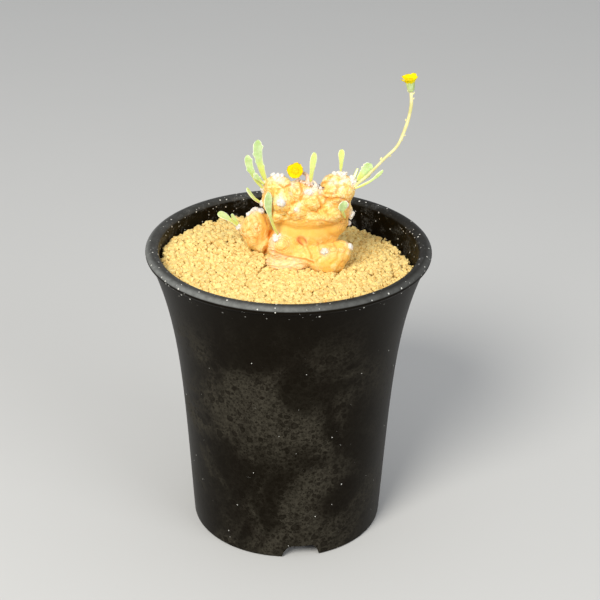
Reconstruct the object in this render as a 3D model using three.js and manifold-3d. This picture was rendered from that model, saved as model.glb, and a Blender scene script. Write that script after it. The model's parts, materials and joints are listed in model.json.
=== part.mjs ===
// A potted othonna: a knobbly caudex with spoon-shaped leaves, woolly growing points and two small
// daisy flowers, standing in fine pumice-like grit in a flared plastic pot.
// Millimetres, +Z up. The origin is on the pot's axis, in the plane that the pot stands on.
// -Y is the plant's show side.
import * as THREE from "three";
import { mergeVertices } from "three/addons/utils/BufferGeometryUtils.js";
import Module from "manifold-3d";

const wasm = await Module();
wasm.setup();

// ------------------------------------------------------------------ driving sizes
// Pot
const potHeight = 98;
const rimRadius = 45; // widest point of the lip
const rimWidth = 4.2; // lip, measured across its top
const rimHeight = 3.2; // lip, from its underside to its crest
const footRadius = 31.4;
const wallTaper = 0.055; // growth of the radius for each millimetre of height, before the flare
const flarePower = 4.6; // how late the wall flares: a higher power keeps it straight for longer
const wall = 1.8;
const footWidth = 2.6;
const floorLift = 5; // clear height under the floor
const floorThickness = 2;
const notchCount = 3;
const notchWidth = 12.2;
const notchCrown = 6; // width of a notch across its top
const notchHeight = 4.4;
const notchTurn = THREE.MathUtils.degToRad(8.7); // first notch, from the show side
const drainRadius = 4.5; // hole in the middle of the floor
const sideDrainRadius = 2.5;
const sideDrainRing = 17; // radius of the ring of smaller holes
const sideDrainCount = 6;
const potSegments = 36;

// Grit
const gritLevel = 91.3; // height of its surface on the pot's axis
const gritFallX = 0.055; // the surface falls towards +X
const gritFallY = 0.03; // and a little towards the back
const gap = 0.3; // clearance between pieces that touch

// Caudex
const caudexPlace = new THREE.Vector3(5.5, 3, gritLevel);
const growth = 1; // scales the whole caudex, and all that grows on it follows
const rootDepth = 26;
const rootRadius = 3.4;

// Leaves, stalks and flowers
const leafThickness = 0.42; // half the thickness of a blade
const stalkRadius = 0.46; // flower stalk, at its middle
const cupRadius = 1.45; // green cup under a flower, at its mouth
const cupHeight = 2.9;
const discRadius = 1.15;
const rayCount = 7;
const rayWidth = 1.4;
const rayThickness = 0.36;

// ------------------------------------------------------------------ finishes
const finish = (color, roughness) => new THREE.MeshStandardMaterial({ color, roughness, metalness: 0 });
const potPlastic = finish(0x1c1c1d, 0.55);
const gritClay = finish(0xd9a961, 0.95);
const caudexBark = finish(0xe0a05a, 0.6);
const leafGreen = finish(0xb4cf8b, 0.55);
const witheredStalk = finish(0xc79a86, 0.85);
const stalkGreen = finish(0xc9cf86, 0.6);
const cupGreen = finish(0xa9c48c, 0.6);
const rayYellow = finish(0xf7d90f, 0.5);
const discOrange = finish(0xf2ae0c, 0.7);
const woolWhite = finish(0xf3ece0, 1);

// ------------------------------------------------------------------ solids
// A closed geometry as a manifold-3d solid.
function solidOf(geometry) {
  const bare = geometry.clone();
  bare.deleteAttribute("normal");
  bare.deleteAttribute("uv");
  const merged = mergeVertices(bare, 1e-4);
  return new wasm.Manifold(
    new wasm.Mesh({
      numProp: 3,
      vertProperties: new Float32Array(merged.attributes.position.array),
      triVerts: new Uint32Array(merged.index.array),
    }),
  );
}

// The largest body of a manifold-3d solid as a geometry: a cut can leave crumbs beside it.
function geometryOf(solid) {
  const largest = solid.decompose().reduce((a, b) => (b.volume() > a.volume() ? b : a));
  const mesh = largest.getMesh();
  const geometry = new THREE.BufferGeometry();
  geometry.setAttribute("position", new THREE.BufferAttribute(mesh.vertProperties, 3));
  geometry.setIndex(new THREE.BufferAttribute(mesh.triVerts, 1));
  geometry.computeVertexNormals();
  return geometry;
}

const union = (solids) => solids.reduce((all, one) => all.add(one));

function named(name, geometry, material) {
  const mesh = new THREE.Mesh(geometry, material);
  mesh.name = name;
  return mesh;
}

// A profile of [radius, height] pairs turned about the Z axis.
function turned(profile, segments) {
  const points = profile.map(([r, z]) => new THREE.Vector2(r, z));
  return new THREE.LatheGeometry(points, segments).rotateX(Math.PI / 2);
}

// A round body with its own radius along each axis.
function egg(centre, radii, detail) {
  const shape = new THREE.IcosahedronGeometry(1, detail).scale(...radii);
  return shape.translate(...centre);
}

// A stalk, leaf or petal: a closed cylinder whose rings are carried along a curve. halfWidth and
// halfThick give the section's half sizes at t, from 0 at the base to 1 at the tip, and the broad
// side looks towards face.
function swept({ curve, halfWidth, halfThick, face, sides = 6, steps = 8 }) {
  const shape = new THREE.CylinderGeometry(1, 1, 1, sides, steps);
  const place = shape.attributes.position;
  for (let i = 0; i < place.count; i++) {
    const t = THREE.MathUtils.clamp(place.getY(i) + 0.5, 0, 1);
    const along = curve.getTangent(t);
    const across = along.clone().cross(face).normalize();
    const outward = across.clone().cross(along);
    const point = curve
      .getPoint(t)
      .addScaledVector(across, place.getX(i) * halfWidth(t))
      .addScaledVector(outward, place.getZ(i) * halfThick(t));
    place.setXYZ(i, point.x, point.y, point.z);
  }
  return shape;
}

// ------------------------------------------------------------------ pot
const taperAt = (z) => footRadius + wallTaper * z;
const flare = rimRadius - taperAt(potHeight);
const outerRadius = (z) => taperAt(z) + flare * (z / potHeight) ** flarePower;
const mouthRadius = rimRadius - rimWidth;
const innerRadius = (z) => Math.min(outerRadius(z) - wall, mouthRadius);
const floorTop = floorLift + floorThickness;

// The rounded lip, from its outer underside over its crest to its inner edge.
function lipProfile(steps) {
  const middle = rimRadius - rimWidth / 2;
  const halfHeight = rimHeight / 2;
  const start = -Math.PI / 4;
  return Array.from({ length: steps + 1 }, (_, i) => {
    const angle = start + ((Math.PI - start) * i) / steps;
    const z = potHeight - halfHeight + halfHeight * Math.sin(angle);
    return [middle + (rimWidth / 2) * Math.cos(angle), z];
  });
}

// The wall is straight low down, so its steps crowd towards the flare.
function wallHeights(from, to, steps) {
  return Array.from({ length: steps + 1 }, (_, i) => from + (to - from) * Math.sqrt(i / steps));
}

// The inside of the wall as it is faceted, from the floor to the lip, and its radius at a height.
const insideWall = wallHeights(floorTop, potHeight - rimHeight, 9).map((z) => [innerRadius(z), z]);
function insideRadius(z) {
  const above = insideWall.findIndex((corner) => corner[1] > z);
  const [[r0, z0], [r1, z1]] = [insideWall[above - 1], insideWall[above]];
  return r0 + ((r1 - r0) * (z - z0)) / (z1 - z0);
}

function notchCutter(turn) {
  const outline = new THREE.Shape();
  outline.moveTo(-notchWidth / 2, -1);
  outline.lineTo(-notchWidth / 2, 0);
  outline.quadraticCurveTo(-notchWidth / 2 + 1, notchHeight, -notchCrown / 2, notchHeight);
  outline.lineTo(notchCrown / 2, notchHeight);
  outline.quadraticCurveTo(notchWidth / 2 - 1, notchHeight, notchWidth / 2, 0);
  outline.lineTo(notchWidth / 2, -1);
  const depth = footRadius;
  const shape = new THREE.ExtrudeGeometry(outline, { depth, bevelEnabled: false, curveSegments: 3 });
  shape.rotateX(Math.PI / 2).translate(0, -footRadius / 2, 0);
  return solidOf(shape.rotateZ(turn));
}

function drain(radius, x, y) {
  const shape = new THREE.CylinderGeometry(radius, radius, floorThickness * 3, 12);
  return solidOf(shape.rotateX(Math.PI / 2).translate(x, y, floorLift + floorThickness / 2));
}

function potGeometry() {
  const footEdge = 0.6;
  const lipUnderside = potHeight - rimHeight;
  const outside = wallHeights(footEdge, lipUnderside, 9).map((z) => [outerRadius(z), z]);
  const profile = [
    [0, floorLift],
    [footRadius - footWidth, floorLift],
    [footRadius - footWidth, 0],
    [footRadius - footEdge, 0],
    ...outside,
    ...lipProfile(10),
    ...insideWall.toReversed(),
    [0, floorTop],
  ];
  let pot = solidOf(turned(profile, potSegments));
  for (let i = 0; i < notchCount; i++) {
    pot = pot.subtract(notchCutter(notchTurn + (2 * Math.PI * i) / notchCount));
  }
  pot = pot.subtract(drain(drainRadius, 0, 0));
  for (let i = 0; i < sideDrainCount; i++) {
    const angle = (2 * Math.PI * i) / sideDrainCount;
    const x = sideDrainRing * Math.cos(angle);
    pot = pot.subtract(drain(sideDrainRadius, x, sideDrainRing * Math.sin(angle)));
  }
  return geometryOf(pot);
}

// ------------------------------------------------------------------ caudex
// Its lobes: centre and radii, measured from the middle of its base on the grit.
const lobes = {
  crown: { at: [0.3, 0, 17], size: [11.6, 9, 6.6] },
  crownLeft: { at: [-8.8, -3.5, 25.4], size: [4.4, 4, 4.4] },
  crownLeftSide: { at: [-10.9, -2.6, 21.4], size: [2.9, 3.6, 4.4] },
  leftBoss: { at: [-7.4, -6.4, 22], size: [3.8, 3.4, 3.8] },
  crownMiddle: { at: [-2.6, -3, 24.2], size: [4.2, 3.8, 3.8] },
  crownCentre: { at: [1.8, -5.8, 22.8], size: [4.4, 3.8, 4.4] },
  crownRight: { at: [9.4, -2, 24.2], size: [5.6, 5.2, 5.6] },
  crownRightSide: { at: [10.2, -3, 18.8], size: [3.8, 4, 4] },
  rightUnder: { at: [8, -1.6, 13.6], size: [5, 5.4, 4.6] },
  rightBoss: { at: [6.6, -6, 18.4], size: [4.6, 3.8, 4] },
  lowMiddle: { at: [-2.8, -6.4, 19.4], size: [4, 3.4, 3.4] },
  lowLeft: { at: [-9.2, -4.2, 17.6], size: [3.4, 3.6, 3.4] },
  crownBack: { at: [3.4, 2.5, 18.4], size: [5, 4.6, 4.4] },
  backLeft: { at: [-6.5, 5.5, 18.6], size: [5, 4.8, 4.8] },
  backMiddle: { at: [1.5, 6.5, 15], size: [5, 4.6, 5] },
  backRight: { at: [8.5, 4.5, 18], size: [4.8, 4.8, 5] },
  neck: { at: [0.2, 0.5, 11], size: [10.9, 8.4, 8.6] },
  backLow: { at: [4, 6.5, 8], size: [5.5, 5, 5] },
  foot: { at: [0.3, -0.5, 4], size: [11.6, 8.6, 5.6] },
  footLeft: { at: [-7, -4.2, 6.2], size: [5, 4.6, 5] },
  footRight: { at: [6.6, -5.2, 2.2], size: [6.4, 4.9, 5.2] },
  footRightTip: { at: [10.9, -3.9, 3.8], size: [3.5, 3.8, 4] },
  footPad: { at: [-5.6, -4.8, 0.9], size: [7, 4.6, 2.8] },
  link: { at: [-8.5, 4.5, 3], size: [6, 4.8, 4.2] },
  sideLobe: { at: [-15.6, 6.6, 6.6], size: [4.9, 5, 7] },
  sideLow: { at: [-13.4, 5, 2.6], size: [3.6, 3.4, 3.4] },
  sideKnob: { at: [-19, 7.6, 6.6], size: [2.3, 2.3, 2.3] },
  sideShoulder: { at: [-17.6, 8.2, 8.4], size: [3, 2.4, 2.6] },
};

// All lobes and the root joined, each grown by spare on every side.
function caudexSolid(spare) {
  const bodies = Object.values(lobes).map(({ at, size }) => {
    const detail = Math.max(...size) > 6 ? 3 : 2;
    const centre = at.map((v) => v * growth);
    const radii = size.map((v) => v * growth + spare);
    return solidOf(egg(centre, radii, detail));
  });
  const length = rootDepth + spare;
  const root = new THREE.CylinderGeometry(rootRadius + spare, 0.8 + spare, length, 10, 1);
  root.rotateX(Math.PI / 2).translate(0, 0, 2 - length / 2);
  return union([...bodies, solidOf(root)]);
}

const caudex = caudexSolid(0);
const caudexRoom = caudexSolid(gap); // what a neighbour has to stay out of

// ------------------------------------------------------------------ growing points
// Each is a woolly tuft on a lobe, in the direction that it looks, with its radius.
const eyes = {
  leftTop: { lobe: "crownLeft", towards: [-0.06, -0.11, 1], radius: 1.4 },
  leftUpper: { lobe: "crownLeft", towards: [-1, 0.2, 0.35], radius: 1.3 },
  leftCluster: { lobe: "crownLeftSide", towards: [-0.75, 0.1, 1], radius: 1.3 },
  leftSide: { lobe: "crownLeftSide", towards: [-1, -0.4, -0.3], radius: 1.1 },
  leftFront: { lobe: "leftBoss", towards: [-0.22, -1, 0.56], radius: 1.4 },
  middleFront: { lobe: "lowMiddle", towards: [-0.12, -1, 0.51], radius: 0.9 },
  footLeft: { lobe: "footLeft", towards: [-0.55, -0.5, 1], radius: 1.5 },
  sideKnob: { lobe: "sideKnob", towards: [-1, -0.15, 0.41], radius: 1.2 },
  sideTop: { lobe: "sideLobe", towards: [-0.14, 0.1, 1], radius: 1.7 },
  footFront: { lobe: "footRight", towards: [-0.21, -0.73, 1], radius: 1.3 },
  footTip: { lobe: "footRightTip", towards: [0.97, -0.12, 1], radius: 1.2 },
  rightLow: { lobe: "rightUnder", towards: [1, 0.1, -0.14], radius: 0.8 },
  rightSide: { lobe: "crownRightSide", towards: [1, -0.43, -0.33], radius: 1.4 },
  rightBrow: { lobe: "crownRightSide", towards: [0.67, -1, 0.88], radius: 1 },
  rightCluster: { lobe: "crownRight", towards: [1, -0.07, 0.61], radius: 1.9 },
  rightTop: { lobe: "crownRight", towards: [0.14, 0.04, 1], radius: 1.5 },
  centreTop: { lobe: "crownCentre", towards: [0.3, -0.02, 1], radius: 1.1 },
  centreFront: { lobe: "crownCentre", towards: [-0.45, -0.6, 1], radius: 1.3 },
  middleTop: { lobe: "crownCentre", towards: [-0.4, 0.5, 1], radius: 1.2 },
  backLeft: { lobe: "backLeft", towards: [-0.3, 1, 0.3], radius: 1.3 },
  backRight: { lobe: "backRight", towards: [0.6, 1, 0.1], radius: 1.3 },
};

// The point of a growing point on its lobe's surface, and the way that it looks.
function spotOf({ lobe, towards }) {
  const { at, size } = lobes[lobe];
  const look = new THREE.Vector3(...towards).normalize();
  const reach = 1 / Math.hypot(look.x / size[0], look.y / size[1], look.z / size[2]);
  const point = new THREE.Vector3(...at).addScaledVector(look, reach).multiplyScalar(growth);
  return { point, look };
}

function tuftSolid(eye, spare) {
  const { point } = spotOf(eye);
  const radius = eye.radius + spare;
  return solidOf(egg(point.toArray(), [radius, radius, radius * 0.9], 1));
}

const tuftRoom = union(Object.values(eyes).map((eye) => tuftSolid(eye, gap)));
const growthRoom = caudexRoom.add(tuftRoom);

// ------------------------------------------------------------------ leaves
// Each springs from a growing point: seat is its foot beside that point, reach goes from foot to
// tip, bow pushes its middle aside, and blade and neck are half widths. Its broad side looks to face.
const show = [0, -1, 0.35];
const leaves = {
  left_tall: {
    eye: "leftUpper",
    seat: [0.2, 0.1, 0],
    reach: [-2.7, -0.6, 14.4],
    bow: [-0.3, 0, 0.2],
    blade: 1.65,
    neck: 1.08,
    face: show,
  },
  left_outer: {
    eye: "leftCluster",
    seat: [-0.6, -0.7, 1.2],
    reach: [-4.8, -0.6, 10.9],
    bow: [-0.9, 0, -0.6],
    blade: 1.5,
    neck: 0.75,
    face: show,
  },
  left_small: {
    eye: "leftUpper",
    seat: [-0.8, -1.5, 0.7],
    reach: [-2.6, -1.2, 3.6],
    bow: [0, 0, -0.2],
    blade: 0.75,
    neck: 0.5,
    face: show,
  },
  left_spur: {
    eye: "leftSide",
    seat: [0.1, 0.7, -0.6],
    reach: [-5.1, -1, 5.7],
    bow: [-0.5, 0, -0.7],
    blade: 0.72,
    neck: 0.5,
    face: [0.7, -0.3, 0.6],
  },
  front: {
    eye: "footLeft",
    seat: [0.15, -0.4, 1.3],
    reach: [-2.85, -2.8, 15.2],
    bow: [-1.1, -0.6, 0],
    blade: 1.3,
    neck: 0.62,
    face: show,
  },
  side_outer: {
    eye: "sideKnob",
    seat: [-0.6, -0.1, 0.2],
    reach: [-6.5, 0.5, 4.5],
    bow: [0, 0, 0.5],
    blade: 1.35,
    neck: 0.6,
    face: [0.3, -0.8, 0.8],
  },
  side_inner: {
    eye: "sideKnob",
    seat: [-0.5, 0.7, 0.6],
    reach: [-2.3, 0.6, 3.4],
    bow: [0, 0, 0],
    blade: 0.62,
    neck: 0.5,
    face: show,
  },
  top_middle: {
    eye: "middleTop",
    seat: [0.6, 0.5, 0.4],
    reach: [1.25, 0.6, 10.4],
    bow: [-0.1, 0, 0],
    blade: 1.2,
    neck: 0.7,
    face: show,
  },
  right_top: {
    eye: "rightTop",
    seat: [0.2, 0.4, 0.4],
    reach: [0.1, 0.4, 7.4],
    bow: [0, 0, 0],
    blade: 1.12,
    neck: 0.6,
    face: show,
  },
  right_broad: {
    eye: "rightCluster",
    seat: [0.33, 0.68, -0.84],
    reach: [5.05, -0.3, 7.12],
    bow: [0.1, 0, -0.1],
    blade: 1.6,
    neck: 0.95,
    face: [0.1, -1, 0.5],
  },
  right_low: {
    eye: "rightCluster",
    seat: [1.05, -1.5, -1.09],
    reach: [8.1, 0.2, 5.9],
    bow: [0.3, 0, -0.7],
    blade: 0.6,
    neck: 0.42,
    face: [-0.5, -0.4, 1],
  },
  right_shade: {
    eye: "rightCluster",
    seat: [1, 1.3, -0.8],
    reach: [4.6, 1.9, 2.9],
    bow: [0.3, 0.2, -0.3],
    blade: 0.95,
    neck: 0.45,
    face: [-0.4, -0.8, 0.8],
  },
  right_stub: {
    eye: "rightCluster",
    seat: [0.3, 1.1, 1],
    reach: [1.2, 1, 2.9],
    bow: [0, 0, 0],
    blade: 0.34,
    neck: 0.3,
    face: show,
  },
  right_front: {
    eye: "rightBrow",
    seat: [-0.25, -1.9, -3],
    reach: [-0.6, -2, 5.8],
    bow: [0, -0.6, 0],
    blade: 1.38,
    neck: 0.7,
    face: [0.1, -1, 0.4],
  },
};

// Half width along a spoon-shaped leaf: a narrow foot, a neck that widens late and a round tip.
function spoon(blade, neck) {
  const widest = 0.76;
  return (t) => {
    const foot = 0.55 + 0.45 * THREE.MathUtils.smoothstep(t, 0, 0.25);
    const widening = THREE.MathUtils.smoothstep(t, 0.3, widest);
    if (t < widest) return neck * foot + (blade - neck) * widening;
    return blade * Math.max(0.16, Math.sqrt(1 - ((t - widest) / (1 - widest)) ** 2));
  };
}

function bowed(foot, reach, bow) {
  const tip = foot.clone().add(reach);
  const middle = foot.clone().lerp(tip, 0.5).add(bow);
  return new THREE.CatmullRomCurve3([foot, middle, tip]);
}

function leafSolid({ eye, seat, reach, bow, blade, neck, face }) {
  const foot = spotOf(eyes[eye]).point.add(new THREE.Vector3(...seat));
  const shape = swept({
    curve: bowed(foot, new THREE.Vector3(...reach), new THREE.Vector3(...bow)),
    halfWidth: spoon(blade, neck),
    halfThick: (t) => (t > 0.93 ? 0.5 : 1) * leafThickness,
    face: new THREE.Vector3(...face).normalize(),
  });
  return solidOf(shape).subtract(growthRoom);
}

// ------------------------------------------------------------------ flowers
// Points of a flower stalk, from the foot beside its growing point to the flower's cup.
const stalks = {
  tall: {
    eye: "rightCluster",
    route: [
      [1, -0.8, -0.41],
      [4.8, -0.85, 3.15],
      [9.5, -0.5, 8.31],
      [12.9, -0.1, 11.82],
      [14.7, 0.2, 15.6],
      [16.2, 0.5, 20.5],
      [16.9, 0.6, 25],
      [16.7, 0.8, 29.2],
    ],
    radius: stalkRadius,
    look: [-0.13, -0.05, 1],
    rayLift: THREE.MathUtils.degToRad(48),
    rayLength: 2.1,
  },
  short: {
    eye: "middleTop",
    route: [
      [-0.7, -0.1, 0.2],
      [-0.5, 0.4, 1.8],
      [-0.8, 1.4, 3],
      [-2, 2.6, 3.2],
      [-3.1, 2.4, 3.5],
    ],
    radius: stalkRadius * 1.1,
    look: [-0.25, -0.85, 0.5],
    rayLift: THREE.MathUtils.degToRad(14),
    rayLength: 1.7,
  },
  withered: {
    eye: "centreTop",
    route: [[-0.2, 0.3, 0.3], [-0.8, 0.6, 1.3], [-1.7, 0.6, 2.1]],
    radius: stalkRadius * 0.8,
  },
};

// A stalk with a flower runs its last stretch straight into the cup.
function stalkCurve({ eye, route, look }) {
  const start = spotOf(eyes[eye]).point;
  const points = route.map((p) => start.clone().add(new THREE.Vector3(...p)));
  if (look) {
    const neck = points.at(-1).clone().addScaledVector(new THREE.Vector3(...look).normalize(), -0.9);
    points.splice(-1, 0, neck);
  }
  return new THREE.CatmullRomCurve3(points);
}

function stalkSolid(stalk, steps) {
  const radius = (t) => stalk.radius * (0.92 + 0.2 * t);
  const shape = swept({
    curve: stalkCurve(stalk),
    halfWidth: radius,
    halfThick: radius,
    face: new THREE.Vector3(0, -1, 0),
    steps,
  });
  return solidOf(shape).subtract(growthRoom);
}

// The cup, disc and rays of one flower, which looks along its own +Z from the end of its stalk.
function flower(name, stalk) {
  const group = new THREE.Group();
  const curve = stalkCurve(stalk);
  const look = new THREE.Vector3(...stalk.look).normalize();
  group.position.copy(curve.getPoint(1)).addScaledVector(look, gap);
  group.quaternion.setFromUnitVectors(new THREE.Vector3(0, 0, 1), look);
  const cupFoot = cupRadius * 0.6;
  const cupProfile = [
    [0, 0],
    [cupFoot, 0],
    [cupRadius * 0.86, cupHeight * 0.45],
    [cupRadius, cupHeight],
    [0, cupHeight],
  ];
  group.add(named(`${name}_flower_cup`, turned(cupProfile, 14), cupGreen));
  const discFoot = cupHeight + gap;
  const discHeight = discRadius * 0.7;
  const discProfile = [
    [0, discFoot],
    [discRadius * 0.85, discFoot],
    [discRadius, discFoot + discHeight * 0.4],
    [discRadius * 0.6, discFoot + discHeight * 0.9],
    [0, discFoot + discHeight],
  ];
  group.add(named(`${name}_flower_disc`, turned(discProfile, 14), discOrange));
  const { rayLength, rayLift: spread } = stalk;
  for (let i = 0; i < rayCount; i++) {
    const turn = new THREE.Group();
    turn.rotation.z = (2 * Math.PI * i) / rayCount;
    const radii = [rayLength / 2, rayWidth / 2, rayThickness / 2];
    const petal = new THREE.OctahedronGeometry(1, 1).scale(...radii);
    const ray = named(`${name}_flower_ray_${i + 1}`, petal, rayYellow);
    ray.position.set(discRadius + gap / 2 + (rayLength / 2) * Math.cos(spread), 0, 0);
    ray.position.z = discFoot + discHeight * 0.5 + (rayLength / 2) * Math.sin(spread);
    ray.rotation.y = -spread;
    turn.add(ray);
    group.add(turn);
  }
  return group;
}

// ------------------------------------------------------------------ grit
const gritHeight = (x, y) => gritLevel - gritFallX * x - gritFallY * y;

function gritGeometry() {
  const foot = floorTop + gap;
  const edge = (z) => insideRadius(z) - gap;
  const level = gritLevel;
  const lowest = level - Math.hypot(gritFallX, gritFallY) * mouthRadius;
  const corners = insideWall.filter(([, z]) => z > foot && z < lowest - 1);
  const side = [foot, ...corners.map(([, z]) => z), level].map((z) => [edge(z), z]);
  const top = [0.75, 0.5, 0.25].map((share) => [edge(level) * share, level]);
  const shape = turned([[0, foot], ...side, ...top, [0, level]], potSegments);
  const place = shape.attributes.position;
  for (let i = 0; i < place.count; i++) {
    if (Math.abs(place.getZ(i) - level) > 1e-3) continue;
    const z = gritHeight(place.getX(i), place.getY(i));
    const rim = Math.hypot(place.getX(i), place.getY(i)) > edge(level) - 1e-3;
    const shrink = rim ? Math.min(1, edge(z) / edge(level)) : 1;
    place.setXYZ(i, place.getX(i) * shrink, place.getY(i) * shrink, z);
  }
  return geometryOf(solidOf(shape).subtract(caudexRoom.translate(caudexPlace.toArray())));
}

// ------------------------------------------------------------------ the whole plant in its pot
const othonna = new THREE.Group();
othonna.add(named("pot", potGeometry(), potPlastic));
othonna.add(named("grit", gritGeometry(), gritClay));

const plant = new THREE.Group();
plant.position.copy(caudexPlace);
othonna.add(plant);
plant.add(named("caudex", geometryOf(caudex), caudexBark));

const snake = (name) => name.replace(/[A-Z]/g, (letter) => "_" + letter.toLowerCase());
for (const [name, eye] of Object.entries(eyes)) {
  const tuft = geometryOf(tuftSolid(eye, 0).subtract(caudexRoom));
  plant.add(named(`wool_${snake(name)}`, tuft, woolWhite));
}
for (const [name, leaf] of Object.entries(leaves)) {
  plant.add(named(`leaf_${name}`, geometryOf(leafSolid(leaf)), leafGreen));
}
plant.add(named("flower_stalk_tall", geometryOf(stalkSolid(stalks.tall, 22)), stalkGreen));
plant.add(named("flower_stalk_short", geometryOf(stalkSolid(stalks.short, 8)), witheredStalk));
plant.add(named("withered_stalk", geometryOf(stalkSolid(stalks.withered, 8)), witheredStalk));
plant.add(flower("tall", stalks.tall));
plant.add(flower("short", stalks.short));

export default othonna;
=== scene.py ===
import json
import math
import random

import bpy
import numpy as np
from bpy.props import FloatProperty, FloatVectorProperty, PointerProperty
from mathutils import Matrix, Vector, noise
from mathutils.bvhtree import BVHTree

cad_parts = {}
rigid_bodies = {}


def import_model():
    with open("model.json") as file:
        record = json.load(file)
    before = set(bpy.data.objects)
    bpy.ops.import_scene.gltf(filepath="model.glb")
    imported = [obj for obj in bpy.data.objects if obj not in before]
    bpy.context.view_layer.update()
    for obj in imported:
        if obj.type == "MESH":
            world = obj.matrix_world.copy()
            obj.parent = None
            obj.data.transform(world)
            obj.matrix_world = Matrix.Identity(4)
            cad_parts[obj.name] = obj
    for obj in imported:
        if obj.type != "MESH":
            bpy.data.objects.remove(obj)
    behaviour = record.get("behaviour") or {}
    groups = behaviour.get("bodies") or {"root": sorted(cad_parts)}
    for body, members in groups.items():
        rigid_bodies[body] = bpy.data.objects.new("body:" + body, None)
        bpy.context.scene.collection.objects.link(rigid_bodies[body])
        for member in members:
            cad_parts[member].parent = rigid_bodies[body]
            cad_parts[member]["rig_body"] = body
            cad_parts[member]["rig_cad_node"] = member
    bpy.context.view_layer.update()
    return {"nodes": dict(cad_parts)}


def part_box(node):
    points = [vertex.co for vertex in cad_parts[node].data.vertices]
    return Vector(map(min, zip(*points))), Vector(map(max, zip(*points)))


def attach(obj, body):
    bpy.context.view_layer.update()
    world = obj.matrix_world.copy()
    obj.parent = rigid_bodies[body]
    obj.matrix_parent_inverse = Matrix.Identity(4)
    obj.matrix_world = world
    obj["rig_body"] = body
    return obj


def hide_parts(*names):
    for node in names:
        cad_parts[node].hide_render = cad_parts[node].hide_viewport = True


bl_info = {
    "name": "Potted othonna",
    "version": (1, 0, 0),
    "blender": (4, 5, 0),
    "location": "3D View > Sidebar > Othonna",
    "description": "Builds a potted othonna: pot, grit, caudex, wool, leaves and flowers",
    "category": "Object",
}

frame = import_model()
noise.seed_set(1)

MM = 0.001
UP = Vector((0, 0, 1))
SHOW_SIDE = Vector((0, -1, 0))


# ---------------------------------------------------------------- reading the frame


def nodes_named(start, end=""):
    return sorted(n for n in frame["nodes"] if n.startswith(start) and n.endswith(end))


def middle_of(node):
    low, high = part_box(node)
    return (low + high) / 2


def merged_copy(node, name):
    """A new object with a merged copy of a CAD node's mesh."""
    piece = frame["nodes"][node].copy()
    piece.data = piece.data.copy()
    piece.name = piece.data.name = name
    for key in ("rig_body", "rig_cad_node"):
        del piece[key]
    piece.parent = None
    bpy.context.scene.collection.objects.link(piece)
    piece.data.materials.clear()
    only(piece)
    in_edit_mode(lambda: bpy.ops.mesh.remove_doubles(threshold=1e-6))
    return piece


def points_of(piece):
    flat = np.empty(len(piece.data.vertices) * 3, np.float32)
    piece.data.vertices.foreach_get("co", flat)
    return flat.reshape(-1, 3).astype(float)


def set_points(piece, points):
    piece.data.vertices.foreach_set("co", np.asarray(points, np.float32).ravel())
    piece.data.update()


def normals_of(piece):
    flat = np.empty(len(piece.data.vertices) * 3, np.float32)
    piece.data.vertices.foreach_get("normal", flat)
    return flat.reshape(-1, 3).astype(float)


# ---------------------------------------------------------------- working with pieces


def only(piece):
    bpy.ops.object.select_all(action="DESELECT")
    piece.hide_viewport = False
    piece.select_set(True)
    bpy.context.view_layer.objects.active = piece


def in_edit_mode(work):
    bpy.ops.object.mode_set(mode="EDIT")
    bpy.ops.mesh.select_all(action="SELECT")
    work()
    bpy.ops.object.mode_set(mode="OBJECT")


def added(name):
    """The primitive that was just added, under its own name."""
    piece = bpy.context.active_object
    piece.name = piece.data.name = name
    return piece


def modify(piece, kind, **settings):
    """Adds a modifier, sets it and applies it."""
    only(piece)
    modifier = piece.modifiers.new(kind.title(), kind)
    for key, value in settings.items():
        setattr(modifier, key, value)
    bpy.ops.object.modifier_apply(modifier=modifier.name)


def paint(piece, name, values):
    """Stores one number for each vertex, for materials to read."""
    layer = piece.data.attributes.get(name) or piece.data.attributes.new(name, "FLOAT", "POINT")
    layer.data.foreach_set("value", np.asarray(values, np.float32))


def complete(piece, material, replaced, crease=math.radians(40)):
    """Gives a piece its finish and its place in the frame."""
    piece.data.materials.clear()
    piece.data.materials.append(material)
    only(piece)
    bpy.ops.object.shade_smooth_by_angle(angle=crease)
    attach(piece, "root")
    if replaced:
        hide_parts(*replaced)
    return piece


def from_arrays(name, vertices, faces):
    mesh = bpy.data.meshes.new(name)
    mesh.from_pydata(np.asarray(vertices).tolist(), [], faces)
    piece = bpy.data.objects.new(name, mesh)
    bpy.context.scene.collection.objects.link(piece)
    return piece


def surface_of(piece):
    """A piece's faces as a tree that finds the nearest point or what a ray meets."""
    faces = [list(f.vertices) for f in piece.data.polygons]
    return BVHTree.FromPolygons(points_of(piece).tolist(), faces)


def sleeve(name, rings, around, shape, marks=()):
    """A closed skin: a grid wrapped into a sleeve by shape(t, turn), which gives a point.

    t runs from 0 to 1 along the sleeve and turn from 0 to 1 around it. Each entry of marks is a
    name and a function of (t, turn) that is painted on the skin.
    """
    bpy.ops.object.select_all(action="DESELECT")
    bpy.ops.mesh.primitive_grid_add(x_subdivisions=rings, y_subdivisions=around, size=1)
    piece = added(name)
    flat = points_of(piece) + 0.5
    set_points(piece, [shape(t, turn) for t, turn in flat[:, :2]])
    for mark, value in marks:
        paint(piece, mark, [value(t, turn) for t, turn in flat[:, :2]])

    def close():
        bpy.ops.mesh.remove_doubles(threshold=2e-6)
        bpy.ops.mesh.normals_make_consistent(inside=False)

    in_edit_mode(close)
    return piece


def joined(name, pieces):
    only(pieces[0])
    for piece in pieces[1:]:
        piece.select_set(True)
    bpy.ops.object.join()
    return added(name)


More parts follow.
